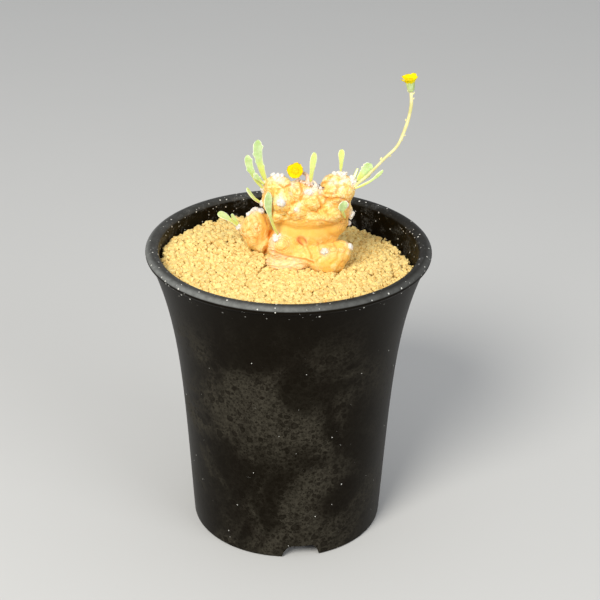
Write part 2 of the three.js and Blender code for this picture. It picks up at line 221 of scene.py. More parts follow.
def scatter(name, shapes, places, mark=None):
    """One mesh that holds a copy of a shape at each place.

    shapes is a list of (vertices, faces). Each place is (shape number, 3x3 array, position, mark).
    """
    vertices, faces, marks, count = [], [], [], 0
    for which, turn, position, value in places:
        points, corners = shapes[which]
        vertices.append(points @ turn.T + position)
        faces.extend([[c + count for c in face] for face in corners])
        marks.append(np.full(len(points), value))
        count += len(points)
    piece = from_arrays(name, np.concatenate(vertices), faces)
    if mark:
        paint(piece, mark, np.concatenate(marks))
    return piece


def smoothstep(edge0, edge1, x):
    t = np.clip((x - edge0) / (edge1 - edge0), 0, 1)
    return t * t * (3 - 2 * t)


def perlin(points, size, offset=0.0):
    """Smooth noise between -1 and 1 whose lumps are about size across."""
    shift = Vector((offset, offset * 1.7, -offset * 0.6))
    return np.array([noise.noise(Vector(p) / size + shift) for p in points])


def random_turn(rng):
    axis = Vector((rng.gauss(0, 1), rng.gauss(0, 1), rng.gauss(0, 1))).normalized()
    return np.array(Matrix.Rotation(rng.uniform(0, math.tau), 3, axis))


def turn_to(direction):
    """A 3x3 array that carries +Z to a direction."""
    return np.array(UP.rotation_difference(Vector(direction)).to_matrix())


# ---------------------------------------------------------------- shader nodes


class Shader:
    """A node tree and short ways to add to it."""

    def __init__(self, tree):
        self.tree = tree

    def node(self, kind, inputs=None, **settings):
        made = self.tree.nodes.new(kind)
        for key, value in settings.items():
            setattr(made, key, value)
        for key, value in (inputs or {}).items():
            self.feed(made.inputs[key], value)
        return made

    def feed(self, socket, value):
        if isinstance(value, bpy.types.NodeSocket):
            self.tree.links.new(value, socket)
        else:
            socket.default_value = value

    def math(self, operation, a, b):
        return self.node("ShaderNodeMath", {0: a, 1: b}, operation=operation).outputs[0]

    def vector(self, operation, a, b, output="Vector"):
        made = self.node("ShaderNodeVectorMath", {0: a, 1: b}, operation=operation)
        return made.outputs[output]

    def axis(self, vector, name):
        return self.node("ShaderNodeSeparateXYZ", {0: vector}).outputs[name]

    def mix(self, factor, a, b):
        """The colours a and b, each three numbers or a socket, mixed by factor."""
        made = self.node("ShaderNodeMix", data_type="RGBA")
        self.feed(made.inputs[0], factor)
        for socket, colour in ((6, a), (7, b)):
            plain = not isinstance(colour, bpy.types.NodeSocket)
            self.feed(made.inputs[socket], (*colour, 1) if plain else colour)
        return made.outputs[2]

    def fade(self, value, low, high, out_low=0.0, out_high=1.0):
        """value carried smoothly from low..high to out_low..out_high."""
        return self.node(
            "ShaderNodeMapRange",
            {"Value": value, 1: low, 2: high, 3: out_low, 4: out_high},
            interpolation_type="SMOOTHSTEP",
        ).outputs[0]

    def noise(self, vector, size, detail=2.0, roughness=0.5, distortion=0.0):
        """Noise whose lumps are about size across, in metres."""
        return self.node(
            "ShaderNodeTexNoise",
            {
                "Vector": vector,
                "Scale": 1 / size,
                "Detail": detail,
                "Roughness": roughness,
                "Distortion": distortion,
            },
        ).outputs["Fac"]

    def bump(self, height, strength, distance):
        made = self.node("ShaderNodeBump", {"Height": height})
        made.inputs["Strength"].default_value = strength
        made.inputs["Distance"].default_value = distance
        return made.outputs[0]

    def place(self):
        return self.node("ShaderNodeTexCoord").outputs["Object"]

    def mark(self, name):
        return self.node("ShaderNodeAttribute", attribute_name=name).outputs["Fac"]


SOCKETS = {
    "roughness": "Roughness",
    "gloss": "Specular IOR Level",
    "sheen": "Sheen Weight",
    "sheen_roughness": "Sheen Roughness",
    "flesh": "Subsurface Weight",
    "flesh_colour": "Subsurface Radius",
    "flesh_depth": "Subsurface Scale",
}


def material(name, **plain):
    """A new material, which plain gives what never varies: its Shader, Principled BSDF and itself."""
    made = bpy.data.materials.new(name)
    made.use_nodes = True
    bsdf = made.node_tree.nodes["Principled BSDF"]
    for key, value in plain.items():
        bsdf.inputs[SOCKETS[key]].default_value = value
    return Shader(made.node_tree), bsdf, made


def mask_group(name, **numbers):
    """A node group from a Vector and some numbers to a Mask: itself, its Shader and its ends."""
    tree = bpy.data.node_groups.new(name, "ShaderNodeTree")
    tree.interface.new_socket("Vector", in_out="INPUT", socket_type="NodeSocketVector")
    for label, value in numbers.items():
        socket = tree.interface.new_socket(label, in_out="INPUT", socket_type="NodeSocketFloat")
        socket.default_value = value
    tree.interface.new_socket("Mask", in_out="OUTPUT", socket_type="NodeSocketFloat")
    ends = tree.nodes.new("NodeGroupInput").outputs, tree.nodes.new("NodeGroupOutput").inputs
    return tree, Shader(tree), *ends


def dust_group():
    """Sparse pale specks.

    Mask is 1 on a speck. Density is the number of cells in a metre, Share how many of them may hold
    a speck, and Width the radius of the largest speck beside a cell.
    """
    tree, s, given, out = mask_group("Dust specks", Density=250.0, Share=0.3, Width=0.1)
    cells = s.node("ShaderNodeTexVoronoi", {"Vector": given["Vector"], "Scale": given["Density"]})
    draw = s.node("ShaderNodeSeparateColor", {0: cells.outputs["Color"]})
    chosen = s.math("LESS_THAN", draw.outputs[0], given["Share"])
    reach = s.math("MULTIPLY", given["Width"], draw.outputs[1])
    inside = s.math("LESS_THAN", cells.outputs["Distance"], reach)
    s.feed(out["Mask"], s.math("MULTIPLY", chosen, inside))
    return tree


def blotch_group():
    """Spots that drops have left.

    Mask is strongest in a ring at a spot's edge. Density is the number of cells in a metre, and
    Share how many of them hold a spot.
    """
    tree, s, given, out = mask_group("Drop marks", Density=900.0, Share=0.5)
    wander = s.node(
        "ShaderNodeTexNoise", {"Vector": given["Vector"], "Scale": given["Density"], "Detail": 2.0}
    )
    offset = s.vector("SUBTRACT", wander.outputs["Color"], (0.5, 0.5, 0.5))
    stretch = s.math("DIVIDE", 0.55, given["Density"])
    scaled = s.node("ShaderNodeVectorMath", {0: offset, "Scale": stretch}, operation="SCALE")
    moved = s.vector("ADD", given["Vector"], scaled.outputs[0])
    cells = s.node("ShaderNodeTexVoronoi", {"Vector": moved, "Scale": given["Density"]})
    draw = s.node("ShaderNodeSeparateColor", {0: cells.outputs["Color"]})
    chosen = s.math("LESS_THAN", draw.outputs[1], given["Share"])
    reach = s.fade(draw.outputs[0], 0.0, 1.0, 0.2, 0.5)
    depth = s.math("SUBTRACT", reach, cells.outputs["Distance"])
    inside = s.fade(depth, 0.0, 0.07, 0.0, 0.8)
    hollow = s.fade(depth, 0.08, 0.22, 0.0, 0.28)
    s.feed(out["Mask"], s.math("MULTIPLY", chosen, s.math("SUBTRACT", inside, hollow)))
    return tree


def use(shader, tree, **inputs):
    """Places a node group and returns its first output."""
    placed = shader.node("ShaderNodeGroup", node_tree=tree)
    for label, value in inputs.items():
        shader.feed(placed.inputs[label], value)
    return placed.outputs[0]


# ---------------------------------------------------------------- materials


def pot_material(look):
    """Black plastic with a mineral film, thinned on the right side by painted shade, drop marks, a
    hazed lip with a painted highlight band, dusty inside and specks.
    """
    s, bsdf, made = material("Black moulded plastic", gloss=0.05)
    dust, drops = dust_group(), blotch_group()
    at = s.place()
    facing = s.node("ShaderNodeNewGeometry").outputs["Normal"]
    height, across, upward = s.axis(at, "Z"), s.axis(at, "X"), s.axis(facing, "Z")
    outward = s.vector("DOT_PRODUCT", s.vector("MULTIPLY", at, (1.0, 1.0, 0.0)), facing, "Value")
    inside = s.math("LESS_THAN", outward, 0.0)

    smears = s.fade(s.noise(at, 0.028, 4.0, 0.58, 1.2), 0.36, 0.70)
    grain = s.fade(s.noise(at, 0.0011, 4.0, 0.75), 0.38, 0.6, 0.35, 1.0)
    film = s.math("MULTIPLY", s.fade(smears, 0.0, 1.0, 0.1, 1.0), grain)
    film = s.math("MULTIPLY", film, s.fade(height, 0.093, 0.062, 0.1, 1.0))
    # The film fades towards +x: painted shade that darkens the pot's right side.
    film = s.math("MULTIPLY", film, s.fade(across, 0.008, 0.034, 1.0, 0.4))
    marks = 0.0
    for density, share in ((300.0, 0.4), (560.0, 0.6), (1300.0, 0.6)):
        spots = use(s, drops, Vector=at, Density=density, Share=share)
        marks = s.math("MAXIMUM", marks, spots)
    bare = s.math("MULTIPLY", film, s.math("SUBTRACT", 1.0, marks))
    colour = s.mix(bare, look.black, look.film)

    # Dust settles on the lip's top. The band along its outer edge, strongest at the left front, is a
    # painted highlight in the same haze colour.
    on_top = s.math("MULTIPLY", s.fade(height, 0.093, 0.0965), s.fade(upward, 0.08, 0.42))
    lip_highlight_band = s.math(
        "MULTIPLY", s.fade(outward, 0.0, 0.032, 0.28, 1.0), s.fade(across, -0.02, 0.034, 1.0, 0.4)
    )
    soft = s.fade(s.noise(at, 0.0022, 4.0, 0.7), 0.3, 0.66, 0.66, 1.0)
    lip_dust_and_highlight = s.math("MULTIPLY", s.math("MULTIPLY", on_top, lip_highlight_band), soft)
    colour = s.mix(lip_dust_and_highlight, colour, look.haze_and_highlight)

    wall_dust = s.math("MULTIPLY", inside, s.fade(s.noise(at, 0.004, 5.0, 0.75, 0.6), 0.48, 0.66))
    wall_dust = s.math("MULTIPLY", wall_dust, s.fade(s.noise(at, 0.0006, 3.0, 0.7), 0.42, 0.6))
    colour = s.mix(s.math("MULTIPLY", wall_dust, 0.35), colour, look.haze_and_highlight)

    specks = use(s, dust, Vector=at, Density=360.0, Share=0.34, Width=0.085)
    lip_specks = use(s, dust, Vector=at, Density=780.0, Share=0.6, Width=0.24)
    lip_specks = s.math("MULTIPLY", lip_specks, s.fade(height, 0.0925, 0.0945))
    wall_specks = use(s, dust, Vector=at, Density=900.0, Share=0.2, Width=0.22)
    wall_specks = s.math("MULTIPLY", wall_specks, inside)
    specks = s.math("MAXIMUM", s.math("MAXIMUM", specks, lip_specks), wall_specks)
    streaks = s.node("ShaderNodeMapping", {"Vector": at, "Scale": (1.0, 1.0, 7.0)}).outputs[0]
    scratch = s.fade(s.noise(streaks, 0.006, 4.0, 0.8, 1.2), 0.715, 0.73, 0.0, 0.3)
    colour = s.mix(s.math("MAXIMUM", specks, scratch), colour, look.dust)

    s.feed(bsdf.inputs["Base Color"], colour)
    dull = s.math("MAXIMUM", film, lip_dust_and_highlight)
    s.feed(bsdf.inputs["Roughness"], s.fade(dull, 0.0, 1.0, 0.38, 0.6))
    s.feed(bsdf.inputs["Normal"], s.bump(s.noise(at, 0.0009, 4.0, 0.65), 0.25, 0.00008))
    return made


def grit_material(look):
    s, bsdf, made = material("Dry clay granules", roughness=0.92, gloss=0.25)
    at = s.place()
    warm = s.mix(s.fade(s.mark("tint"), 0.0, 1.0), look.dark, look.light)
    patch = s.fade(s.noise(at, 0.0009, 4.0, 0.6), 0.3, 0.72)
    pits = s.fade(s.noise(at, 0.00035, 3.0, 0.7), 0.3, 0.48, 0.55, 0.0)
    s.feed(bsdf.inputs["Base Color"], s.mix(pits, s.mix(patch, warm, look.pale), look.pit))
    s.feed(bsdf.inputs["Normal"], s.bump(s.noise(at, 0.0005, 5.0, 0.7), 0.7, 0.00018))
    return made


def bed_material(look):
    s, bsdf, made = material("Shaded clay", roughness=1.0)
    at = s.place()
    tone = s.noise(at, 0.0015, 4.0, 0.6)
    s.feed(bsdf.inputs["Base Color"], s.mix(tone, look.deep, look.pit))
    s.feed(bsdf.inputs["Normal"], s.bump(s.noise(at, 0.0012, 4.0, 0.6), 1.0, 0.0006))
    return made


def bark_material(look):
    """Golden bark: mottled warts with pale tops, partly painted highlight, a side lobe painted
    lighter, rusty creases, partly painted shade, painted shade under the brow, brown rings and pink
    flesh.
    """
    s, bsdf, made = material(
        "Waxy golden bark", gloss=0.3, flesh=0.2, flesh_colour=(1.0, 0.5, 0.15), flesh_depth=0.001
    )
    at = s.place()
    crest, busy = s.mark("crest"), s.mark("busy")
    patches = s.fade(s.noise(at, 0.0032, 4.0, 0.65, 0.6), 0.34, 0.62)
    body = s.mix(patches, look.gold, look.amber)
    body = s.mix(s.fade(busy, 0.0, 1.0, 0.75, 0.0), body, look.amber)
    # Cream on raised warts is partly pale bark, partly painted highlight.
    colour = s.mix(s.math("MULTIPLY", crest, 0.76), body, look.cream)
    rough_only = s.fade(busy, 0.0, 1.0, 0.12, 1.0)
    flecks = s.fade(s.noise(at, 0.0024, 4.0, 0.66, 1.6), 0.54, 0.64, 0.0, 0.7)
    colour = s.mix(s.math("MULTIPLY", flecks, rough_only), colour, look.rust)
    pale = s.fade(s.noise(at, 0.0030, 4.0, 0.66, 1.2), 0.5, 0.62, 0.0, 0.85)
    colour = s.mix(s.math("MULTIPLY", pale, rough_only), colour, look.cream)
    # Rust in the hollows is partly the creases' own colour, partly painted shade, and painted shade
    # under the brow.
    colour = s.mix(s.math("MULTIPLY", s.mark("hollow"), 0.85), colour, look.rust)
    colour = s.mix(s.math("MULTIPLY", s.mark("ring"), 0.62), colour, look.brown)
    blush = s.fade(s.noise(at, 0.0026, 3.0, 0.6), 0.3, 0.62, 0.5, 1.0)
    flesh = s.mix(crest, look.pink, look.cream)
    colour = s.mix(s.math("MULTIPLY", s.mark("pink"), blush), colour, flesh)
    colour = s.mix(s.mark("scar"), colour, look.scar)
    frost = s.fade(s.noise(at, 0.0005, 4.0, 0.7), 0.36, 0.54, 0.3, 1.0)
    colour = s.mix(s.math("MULTIPLY", s.mark("felt"), frost), colour, look.wool)
    s.feed(bsdf.inputs["Base Color"], colour)
    s.feed(bsdf.inputs["Roughness"], s.fade(s.noise(at, 0.0012, 3.0, 0.6), 0.3, 0.7, 0.4, 0.66))
    fine = s.noise(at, 0.0005, 5.0, 0.7, 0.5)
    cells = s.node("ShaderNodeTexVoronoi", {"Vector": at, "Scale": 1250}, feature="DISTANCE_TO_EDGE")
    relief = s.math("ADD", fine, s.fade(cells.outputs["Distance"], 0.0, 0.14, 0.0, 0.45))
    relief = s.math("MULTIPLY", relief, s.fade(s.mark("smooth"), 0.0, 1.0, 1.0, 0.3))
    s.feed(bsdf.inputs["Normal"], s.bump(relief, 0.5, 0.00015))
    return made


def wool_material(look):
    s, bsdf, made = material(
        "White wool",
        roughness=0.9,
        sheen=0.4,
        sheen_roughness=0.5,
        flesh=0.3,
        flesh_colour=(1.0, 0.8, 0.6),
        flesh_depth=0.0006,
    )
    at = s.place()
    tone = s.fade(s.noise(at, 0.0008), 0.3, 0.7)
    s.feed(bsdf.inputs["Base Color"], s.mix(tone, look.wool_shade, look.wool))
    s.feed(bsdf.inputs["Normal"], s.bump(s.noise(at, 0.0003, 4.0, 0.7), 0.8, 0.00015))
    return made


def leaf_material(look):
    """A bloomed blade on a yellow-green neck, with a pale margin that is partly painted highlight.
    Young leaves are yellower.
    """
    s, bsdf, made = material(
        "Fleshy leaf with bloom",
        gloss=0.4,
        flesh=0.35,
        flesh_colour=(0.6, 1.0, 0.25),
        flesh_depth=0.0007,
    )
    at = s.place()
    blade = s.mix(s.fade(s.noise(at, 0.0016, 4.0, 0.6), 0.32, 0.7), look.leaf, look.bloom)
    blade = s.mix(s.mark("age"), blade, look.young)
    grown = s.mix(s.fade(s.mark("along"), 0.28, 0.62), look.petiole, blade)
    # The pale rim round each blade is partly the leaf's own margin, partly a painted highlight on its
    # edge.
    rim = s.math("MULTIPLY", s.fade(s.mark("edge"), 0.74, 0.96), 0.85)
    s.feed(bsdf.inputs["Base Color"], s.mix(rim, grown, look.margin))
    s.feed(bsdf.inputs["Roughness"], s.fade(s.noise(at, 0.0012, 3.0), 0.3, 0.7, 0.45, 0.66))
    s.feed(bsdf.inputs["Normal"], s.bump(s.noise(at, 0.0005, 4.0, 0.6), 0.35, 0.00008))
    return made


def plain_growth(name, low, high, size, flesh=0.25, roughness=0.55, gloss=0.5):
    """A soft plant skin that wanders between two colours."""
    s, bsdf, made = material(
        name,
        roughness=roughness,
        gloss=gloss,
        flesh=flesh,
        flesh_colour=(1.0, 0.8, 0.3),
        flesh_depth=0.0006,
    )
    at = s.place()
    tone = s.fade(s.noise(at, size, 4.0, 0.6), 0.3, 0.7)
    s.feed(bsdf.inputs["Base Color"], s.mix(tone, low, high))
    s.feed(bsdf.inputs["Normal"], s.bump(s.noise(at, size * 0.4, 4.0, 0.6), 0.4, 0.0001))
    return made


def floor_material(look):
    s, bsdf, made = material("Pale floor", roughness=0.85, gloss=0.2)
    shade = [c * 0.985 for c in look.floor]
    s.feed(bsdf.inputs["Base Color"], s.mix(s.noise(s.place(), 0.05, 3.0), shade, look.floor))
    return made


# ---------------------------------------------------------------- settings


def size_setting(name, value, description):
    return FloatProperty(name=name, default=value, min=0, unit="LENGTH", description=description)


def share_setting(name, value, description):
    return FloatProperty(name=name, default=value, min=0, description=description)


def colour_setting(name, value, description):
    return FloatVectorProperty(
        name=name, subtype="COLOR", default=value, min=0, max=1, description=description
    )


POT_LOW, POT_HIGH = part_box("pot")


class PotSettings(bpy.types.PropertyGroup):
    """Sizes and colours of the pot."""

    height: size_setting("Height", POT_HIGH.z - POT_LOW.z, "Foot to the crest of the lip")
    rim_radius: size_setting("Rim radius", POT_HIGH.x, "Widest point of the lip")
    rim_width: size_setting("Rim width", 4.2 * MM, "Width of the lip, seen from above")
    rim_height: size_setting("Rim height", 3.2 * MM, "Height of the rounded lip")
    foot_radius: size_setting("Foot radius", 31.4 * MM, "Radius of the wall at the foot")
    taper: share_setting("Taper", 0.055, "Growth of the radius with height, before the flare")
    flare_power: share_setting("Flare power", 4.6, "How late the wall flares")
    wall: size_setting("Wall", 1.8 * MM, "Thickness of the wall")
    foot_width: size_setting("Foot width", 2.6 * MM, "Thickness of the foot ring")
    floor_lift: size_setting("Floor lift", 5 * MM, "Clear height under the floor")
    floor_thickness: size_setting("Floor thickness", 2 * MM, "Thickness of the floor")
    notch_width: size_setting("Notch width", 12.2 * MM, "Drainage notch, at the foot")
    notch_crown: size_setting("Notch crown", 6 * MM, "Drainage notch, across its top")
    notch_height: size_setting("Notch height", 4.4 * MM, "Height of a drainage notch")
    drain_radius: size_setting("Drain radius", 4.5 * MM, "Drain hole in the middle of the floor")
    side_drain_radius: size_setting("Side drain radius", 2.5 * MM, "Drain holes round it")
    side_drain_ring: size_setting("Side drain ring", 17 * MM, "Where those holes lie")
    black: colour_setting("Black", (0.0042, 0.0026, 0.0007), "Bare plastic")
    film: colour_setting("Film", (0.043, 0.038, 0.027), "Dull film on the plastic")
    # Haze colours the dust inside the pot and the painted highlight band on the lip.
    haze_and_highlight: colour_setting("Haze", (0.185, 0.19, 0.18), "Fine dust that settles on top")
    dust: colour_setting("Dust", (0.62, 0.61, 0.56), "Specks and scratches")


class GritSettings(bpy.types.PropertyGroup):
    """Sizes and colours of the grit."""

    spacing: size_setting("Spacing", 1.55 * MM, "Distance between neighbouring granules")
    smallest: size_setting("Smallest", 1.45 * MM, "Width of the smallest granules")
    largest: size_setting("Largest", 2.4 * MM, "Width of the largest granules")
    dark: colour_setting("Dark", (0.76, 0.48, 0.14), "Darker granules")
    light: colour_setting("Light", (0.90, 0.66, 0.24), "Lighter granules")
    pale: colour_setting("Pale", (0.97, 0.80, 0.34), "Dusty patches")
    pit: colour_setting("Pit", (0.42, 0.21, 0.06), "Pores")
    deep: colour_setting("Deep", (0.10, 0.055, 0.02), "Shaded clay between granules")


class CaudexSettings(bpy.types.PropertyGroup):
    """Relief and colours of the caudex and its wool."""

    voxel: size_setting("Voxel", 0.27 * MM, "Fineness of the skin")
    wart_height: size_setting("Wart height", 0.24 * MM, "Height of the warts on the crown")
    ring_depth: size_setting("Ring depth", 0.07 * MM, "Depth of the rings round growing points")
    gold: colour_setting("Gold", (0.93, 0.64, 0.20), "Main bark colour")
    amber: colour_setting("Amber", (0.94, 0.55, 0.11), "Deeper bark colour")
    # Cream is pale bark and also the painted highlight on raised warts and the side lobe.
    cream: colour_setting("Cream", (0.965, 0.80, 0.365), "Raised bark")
    # Rust also paints shade in creases and under the brow.
    rust: colour_setting("Rust", (0.80, 0.33, 0.05), "Creases")
    brown: colour_setting("Brown", (0.62, 0.25, 0.06), "Rings round growing points")
    pink: colour_setting("Pink", (0.93, 0.60, 0.33), "Base pad")
    scar: colour_setting("Scar", (0.70, 0.22, 0.06), "Rim of the leaf scar")
    wool: colour_setting("Wool", (0.96, 0.93, 0.86), "Wool")
    wool_shade: colour_setting("Wool shade", (0.85, 0.70, 0.52), "Matted wool")


class LeafSettings(bpy.types.PropertyGroup):
    """Colours and thickness of the leaves."""

    thickness: size_setting("Thickness", 0.85 * MM, "Thickness of a blade")
    leaf: colour_setting("Leaf", (0.44, 0.60, 0.23), "Blade")
    bloom: colour_setting("Bloom", (0.60, 0.74, 0.40), "Waxy bloom")
    young: colour_setting("Young", (0.70, 0.76, 0.20), "Young blade")
    petiole: colour_setting("Petiole", (0.64, 0.68, 0.17), "Neck of a leaf")
    margin: colour_setting("Margin", (0.92, 0.96, 0.74), "Edge of a blade")


class FlowerSettings(bpy.types.PropertyGroup):
    """Colours and shape of the flowers and their stalks."""

    stalk: colour_setting("Stalk", (0.66, 0.62, 0.24), "Flower stalk")
    stalk_light: colour_setting("Stalk light", (0.86, 0.80, 0.46), "Lighter flower stalk")
    pink_stalk: colour_setting("Pink stalk", (0.95, 0.76, 0.60), "Short and withered stalks")
    pink_dark: colour_setting("Pink dark", (0.84, 0.50, 0.36), "Darker parts of those stalks")
    husk: colour_setting("Husk", (0.16, 0.06, 0.035), "Dry husks")
    cup: colour_setting("Cup", (0.42, 0.55, 0.20), "Cup")
    cup_light: colour_setting("Cup light", (0.60, 0.70, 0.34), "Lighter cup")
    ray: colour_setting("Ray", (0.90, 0.66, 0.002), "Rays")
    # A lighter yellow for the tall flower's rays, painted light that makes up for the shade on its
    # petals.
    tall_ray_lightened: colour_setting("Lemon", (0.95, 0.84, 0.008), "Rays of the tall flower")
    ray_dark: colour_setting("Ray dark", (0.86, 0.54, 0.001), "Base of the rays")
    disc: colour_setting("Disc", (0.90, 0.48, 0.004), "Disc florets")
    disc_light: colour_setting("Disc light", (0.95, 0.66, 0.01), "Tips of the disc florets")


class StageSettings(bpy.types.PropertyGroup):
    """Camera, light and floor."""

    eye: FloatVectorProperty(
        name="Eye", default=(0, -0.428724, 0.295041), subtype="TRANSLATION", description="Camera"
    )
    tilt: share_setting("Tilt", 26.856, "Degrees that the camera looks down")
    pan: FloatProperty(name="Pan", default=-0.5011, description="Degrees that it turns to the left")
    roll: FloatProperty(name="Roll", default=0.6924, description="Degrees that it leans")
    lens: share_setting("Lens", 90.0, "Focal length in millimetres")
    key: share_setting("Key", 12.2, "Watts of the key light")
    fill: share_setting("Fill", 3.7, "Watts of the fill light")
    sky: share_setting("Sky", 0.55, "Strength of the even light")
    floor: colour_setting("Floor", (0.60, 0.60, 0.58), "Floor")


# ---------------------------------------------------------------- pot

WALL_STEPS = 176
NOTCHES = 3
NOTCH_TURN = math.radians(8.7)
SIDE_DRAINS = 6


def wall_radius(pot, z):
    """Outer radius of the pot's wall at a height."""
    straight = pot.foot_radius + pot.taper * z
    flare = pot.rim_radius - pot.foot_radius - pot.taper * pot.height
    return straight + flare * (z / pot.height) ** pot.flare_power


def inside_radius(pot, z):
    return min(wall_radius(pot, z) - pot.wall, pot.rim_radius - pot.rim_width)


def pot_profile(pot):
    """The pot's closed outline as (radius, height), from under the floor round to its top."""
    edge = 0.7 * MM
    foot_inside = pot.foot_radius - pot.foot_width
    floor_top = pot.floor_lift + pot.floor_thickness
    under_lip = pot.height - pot.rim_height * 0.86
    outline = [(0, pot.floor_lift), (foot_inside - 1 * MM, pot.floor_lift)]
    outline += [(foot_inside, pot.floor_lift - 1 * MM), (foot_inside, 0.3 * MM)]
    outline += [(foot_inside + 0.3 * MM, 0), (pot.foot_radius - edge, 0)]
    for i in range(1, 5):
        angle = math.pi / 2 * i / 4
        radius = pot.foot_radius - edge + edge * math.sin(angle)
        outline.append((radius, edge * (1 - math.cos(angle))))
    heights = [edge + (under_lip - edge) * (i / 34) ** 0.72 for i in range(1, 35)]
    outline += [(wall_radius(pot, z), z) for z in heights]
    middle = pot.rim_radius - pot.rim_width / 2
    half = pot.rim_height / 2
    for i in range(17):
        angle = math.radians(-40 + 220 * i / 16)
        radius = middle + pot.rim_width / 2 * math.cos(angle)
        outline.append((radius, pot.height - half + half * math.sin(angle)))
    ledge = pot.height - pot.rim_height * 0.95
    outline.append((pot.rim_radius - pot.rim_width - 0.15 * MM, ledge))
    depth = ledge - floor_top - 3 * MM
    inner = [floor_top + 2 * MM + depth * (i / 26) ** 0.72 for i in range(27)]
    outline += [(inside_radius(pot, z), z) for z in reversed(inner)]
    outline += [(inside_radius(pot, floor_top) - 1.5 * MM, floor_top), (0, floor_top)]
    return outline


def notch_cutter(pot, turn):
    """A block with a rounded arch for a top, which cuts one drainage notch."""
    bpy.ops.object.select_all(action="DESELECT")
    bpy.ops.mesh.primitive_plane_add(size=1)
    cutter = added("notch_cutter")
    half, crown, top = pot.notch_width / 2, pot.notch_crown / 2, pot.notch_height
    outline = [(-half, -MM), (-half, 0)]
    for i in range(1, 9):
        t = i / 8
        x = (1 - t) ** 2 * -half + 2 * t * (1 - t) * (-half + MM) + t * t * -crown
        outline.append((x, 2 * t * (1 - t) * top + t * t * top))
    outline += [(-x, z) for x, z in reversed(outline)]
    near, far = -pot.foot_radius * 1.3, -pot.foot_radius * 0.7
    count = len(outline)
    vertices = [(x, y, z) for y in (near, far) for x, z in outline]
    faces = [list(range(count)), list(range(2 * count - 1, count - 1, -1))]
    faces += [[i, i + count, (i + 1) % count + count, (i + 1) % count] for i in range(count)]
    cutter.data.clear_geometry()
    cutter.data.from_pydata(vertices, [], faces)
    cutter.data.transform(Matrix.Rotation(turn, 4, "Z"))
    only(cutter)
    in_edit_mode(lambda: bpy.ops.mesh.normals_make_consistent(inside=False))
    return cutter


def cut_away(piece, cutter):
    modify(piece, "BOOLEAN", operation="DIFFERENCE", object=cutter, solver="EXACT")
    bpy.data.objects.remove(cutter)


class OTHONNA_OT_pot(bpy.types.Operator):
    """Builds the pot: a turned wall with a rounded lip, foot notches and drain holes"""

    bl_idname = "othonna.pot"
    bl_label = "Pot"

    def execute(self, context):
        pot = context.scene.othonna_pot
        outline = pot_profile(pot)
        bpy.ops.object.select_all(action="DESELECT")
        bpy.ops.mesh.primitive_circle_add(vertices=len(outline), radius=1)
        piece = added("pot_black_plastic")
        set_points(piece, [(r, 0, z) for r, z in outline])

        def turn():
            full = {"angle": math.tau, "center": (0, 0, 0), "axis": (0, 0, 1)}
            bpy.ops.mesh.spin(steps=WALL_STEPS, use_auto_merge=True, **full)
            bpy.ops.mesh.select_all(action="SELECT")
            bpy.ops.mesh.remove_doubles(threshold=2e-6)
            bpy.ops.mesh.delete_loose()
            bpy.ops.mesh.select_all(action="SELECT")
            bpy.ops.mesh.normals_make_consistent(inside=False)

        in_edit_mode(turn)
        for i in range(NOTCHES):
            cut_away(piece, notch_cutter(pot, NOTCH_TURN + math.tau * i / NOTCHES))
        drains = [(pot.drain_radius, 0, 0)]
        for i in range(SIDE_DRAINS):
            drains.append((pot.side_drain_radius, pot.side_drain_ring, math.tau * i / SIDE_DRAINS))
        for radius, reach, angle in drains:
            bpy.ops.object.select_all(action="DESELECT")
            bpy.ops.mesh.primitive_cylinder_add(
                vertices=32,
                radius=radius,
                depth=4 * pot.floor_thickness,
                location=(reach * math.cos(angle), reach * math.sin(angle), pot.floor_lift),
            )
            cut_away(piece, added("drain_cutter"))
        modify(piece, "BEVEL", width=0.22 * MM, segments=2, limit_method="ANGLE", angle_limit=0.9)
        complete(piece, pot_material(pot), ["pot"], math.radians(30))
        return {"FINISHED"}


# ---------------------------------------------------------------- caudex

# Buds that hold no wool, in millimetres: middle, radius and number of rings round them.
BARE_BUDS = [
    ((17.1, -2.6, 104.4), 1.3, 2),
    ((-7.3, 3.6, 93.6), 1.2, 2),
    ((2.4, -3.6, 117.0), 1.6, 2),
    ((-10.2, 4.6, 100.4), 0.9, 1),
    ((14.4, -4.4, 115.2), 1.9, 1),
]
# The marks below lie on the show side. They are as x and z, in millimetres, on an upright plane
# MARK_PLANE ahead of the middle, and reach the bark along lines from the camera's place.
MARK_PLANE = 5 * MM
SEEN_BUDS = [
    ((-2.4, 99.9), 1.9, 3),
    ((13.8, 98.4), 0.7, 1),
    ((16.5, 98.1), 0.7, 1),
    ((16.7, 107.7), 0.6, 1),
]
LEAF_SCAR = (4.3, 101.1)
# A felted brow, and the neck under it, which painted shade darkens, as x, y and z.
RIGHT_BROW = (18.2, -1.5, 118.5)
SHADE_UNDER_BROW = (14.0, -7.0, 105.4)
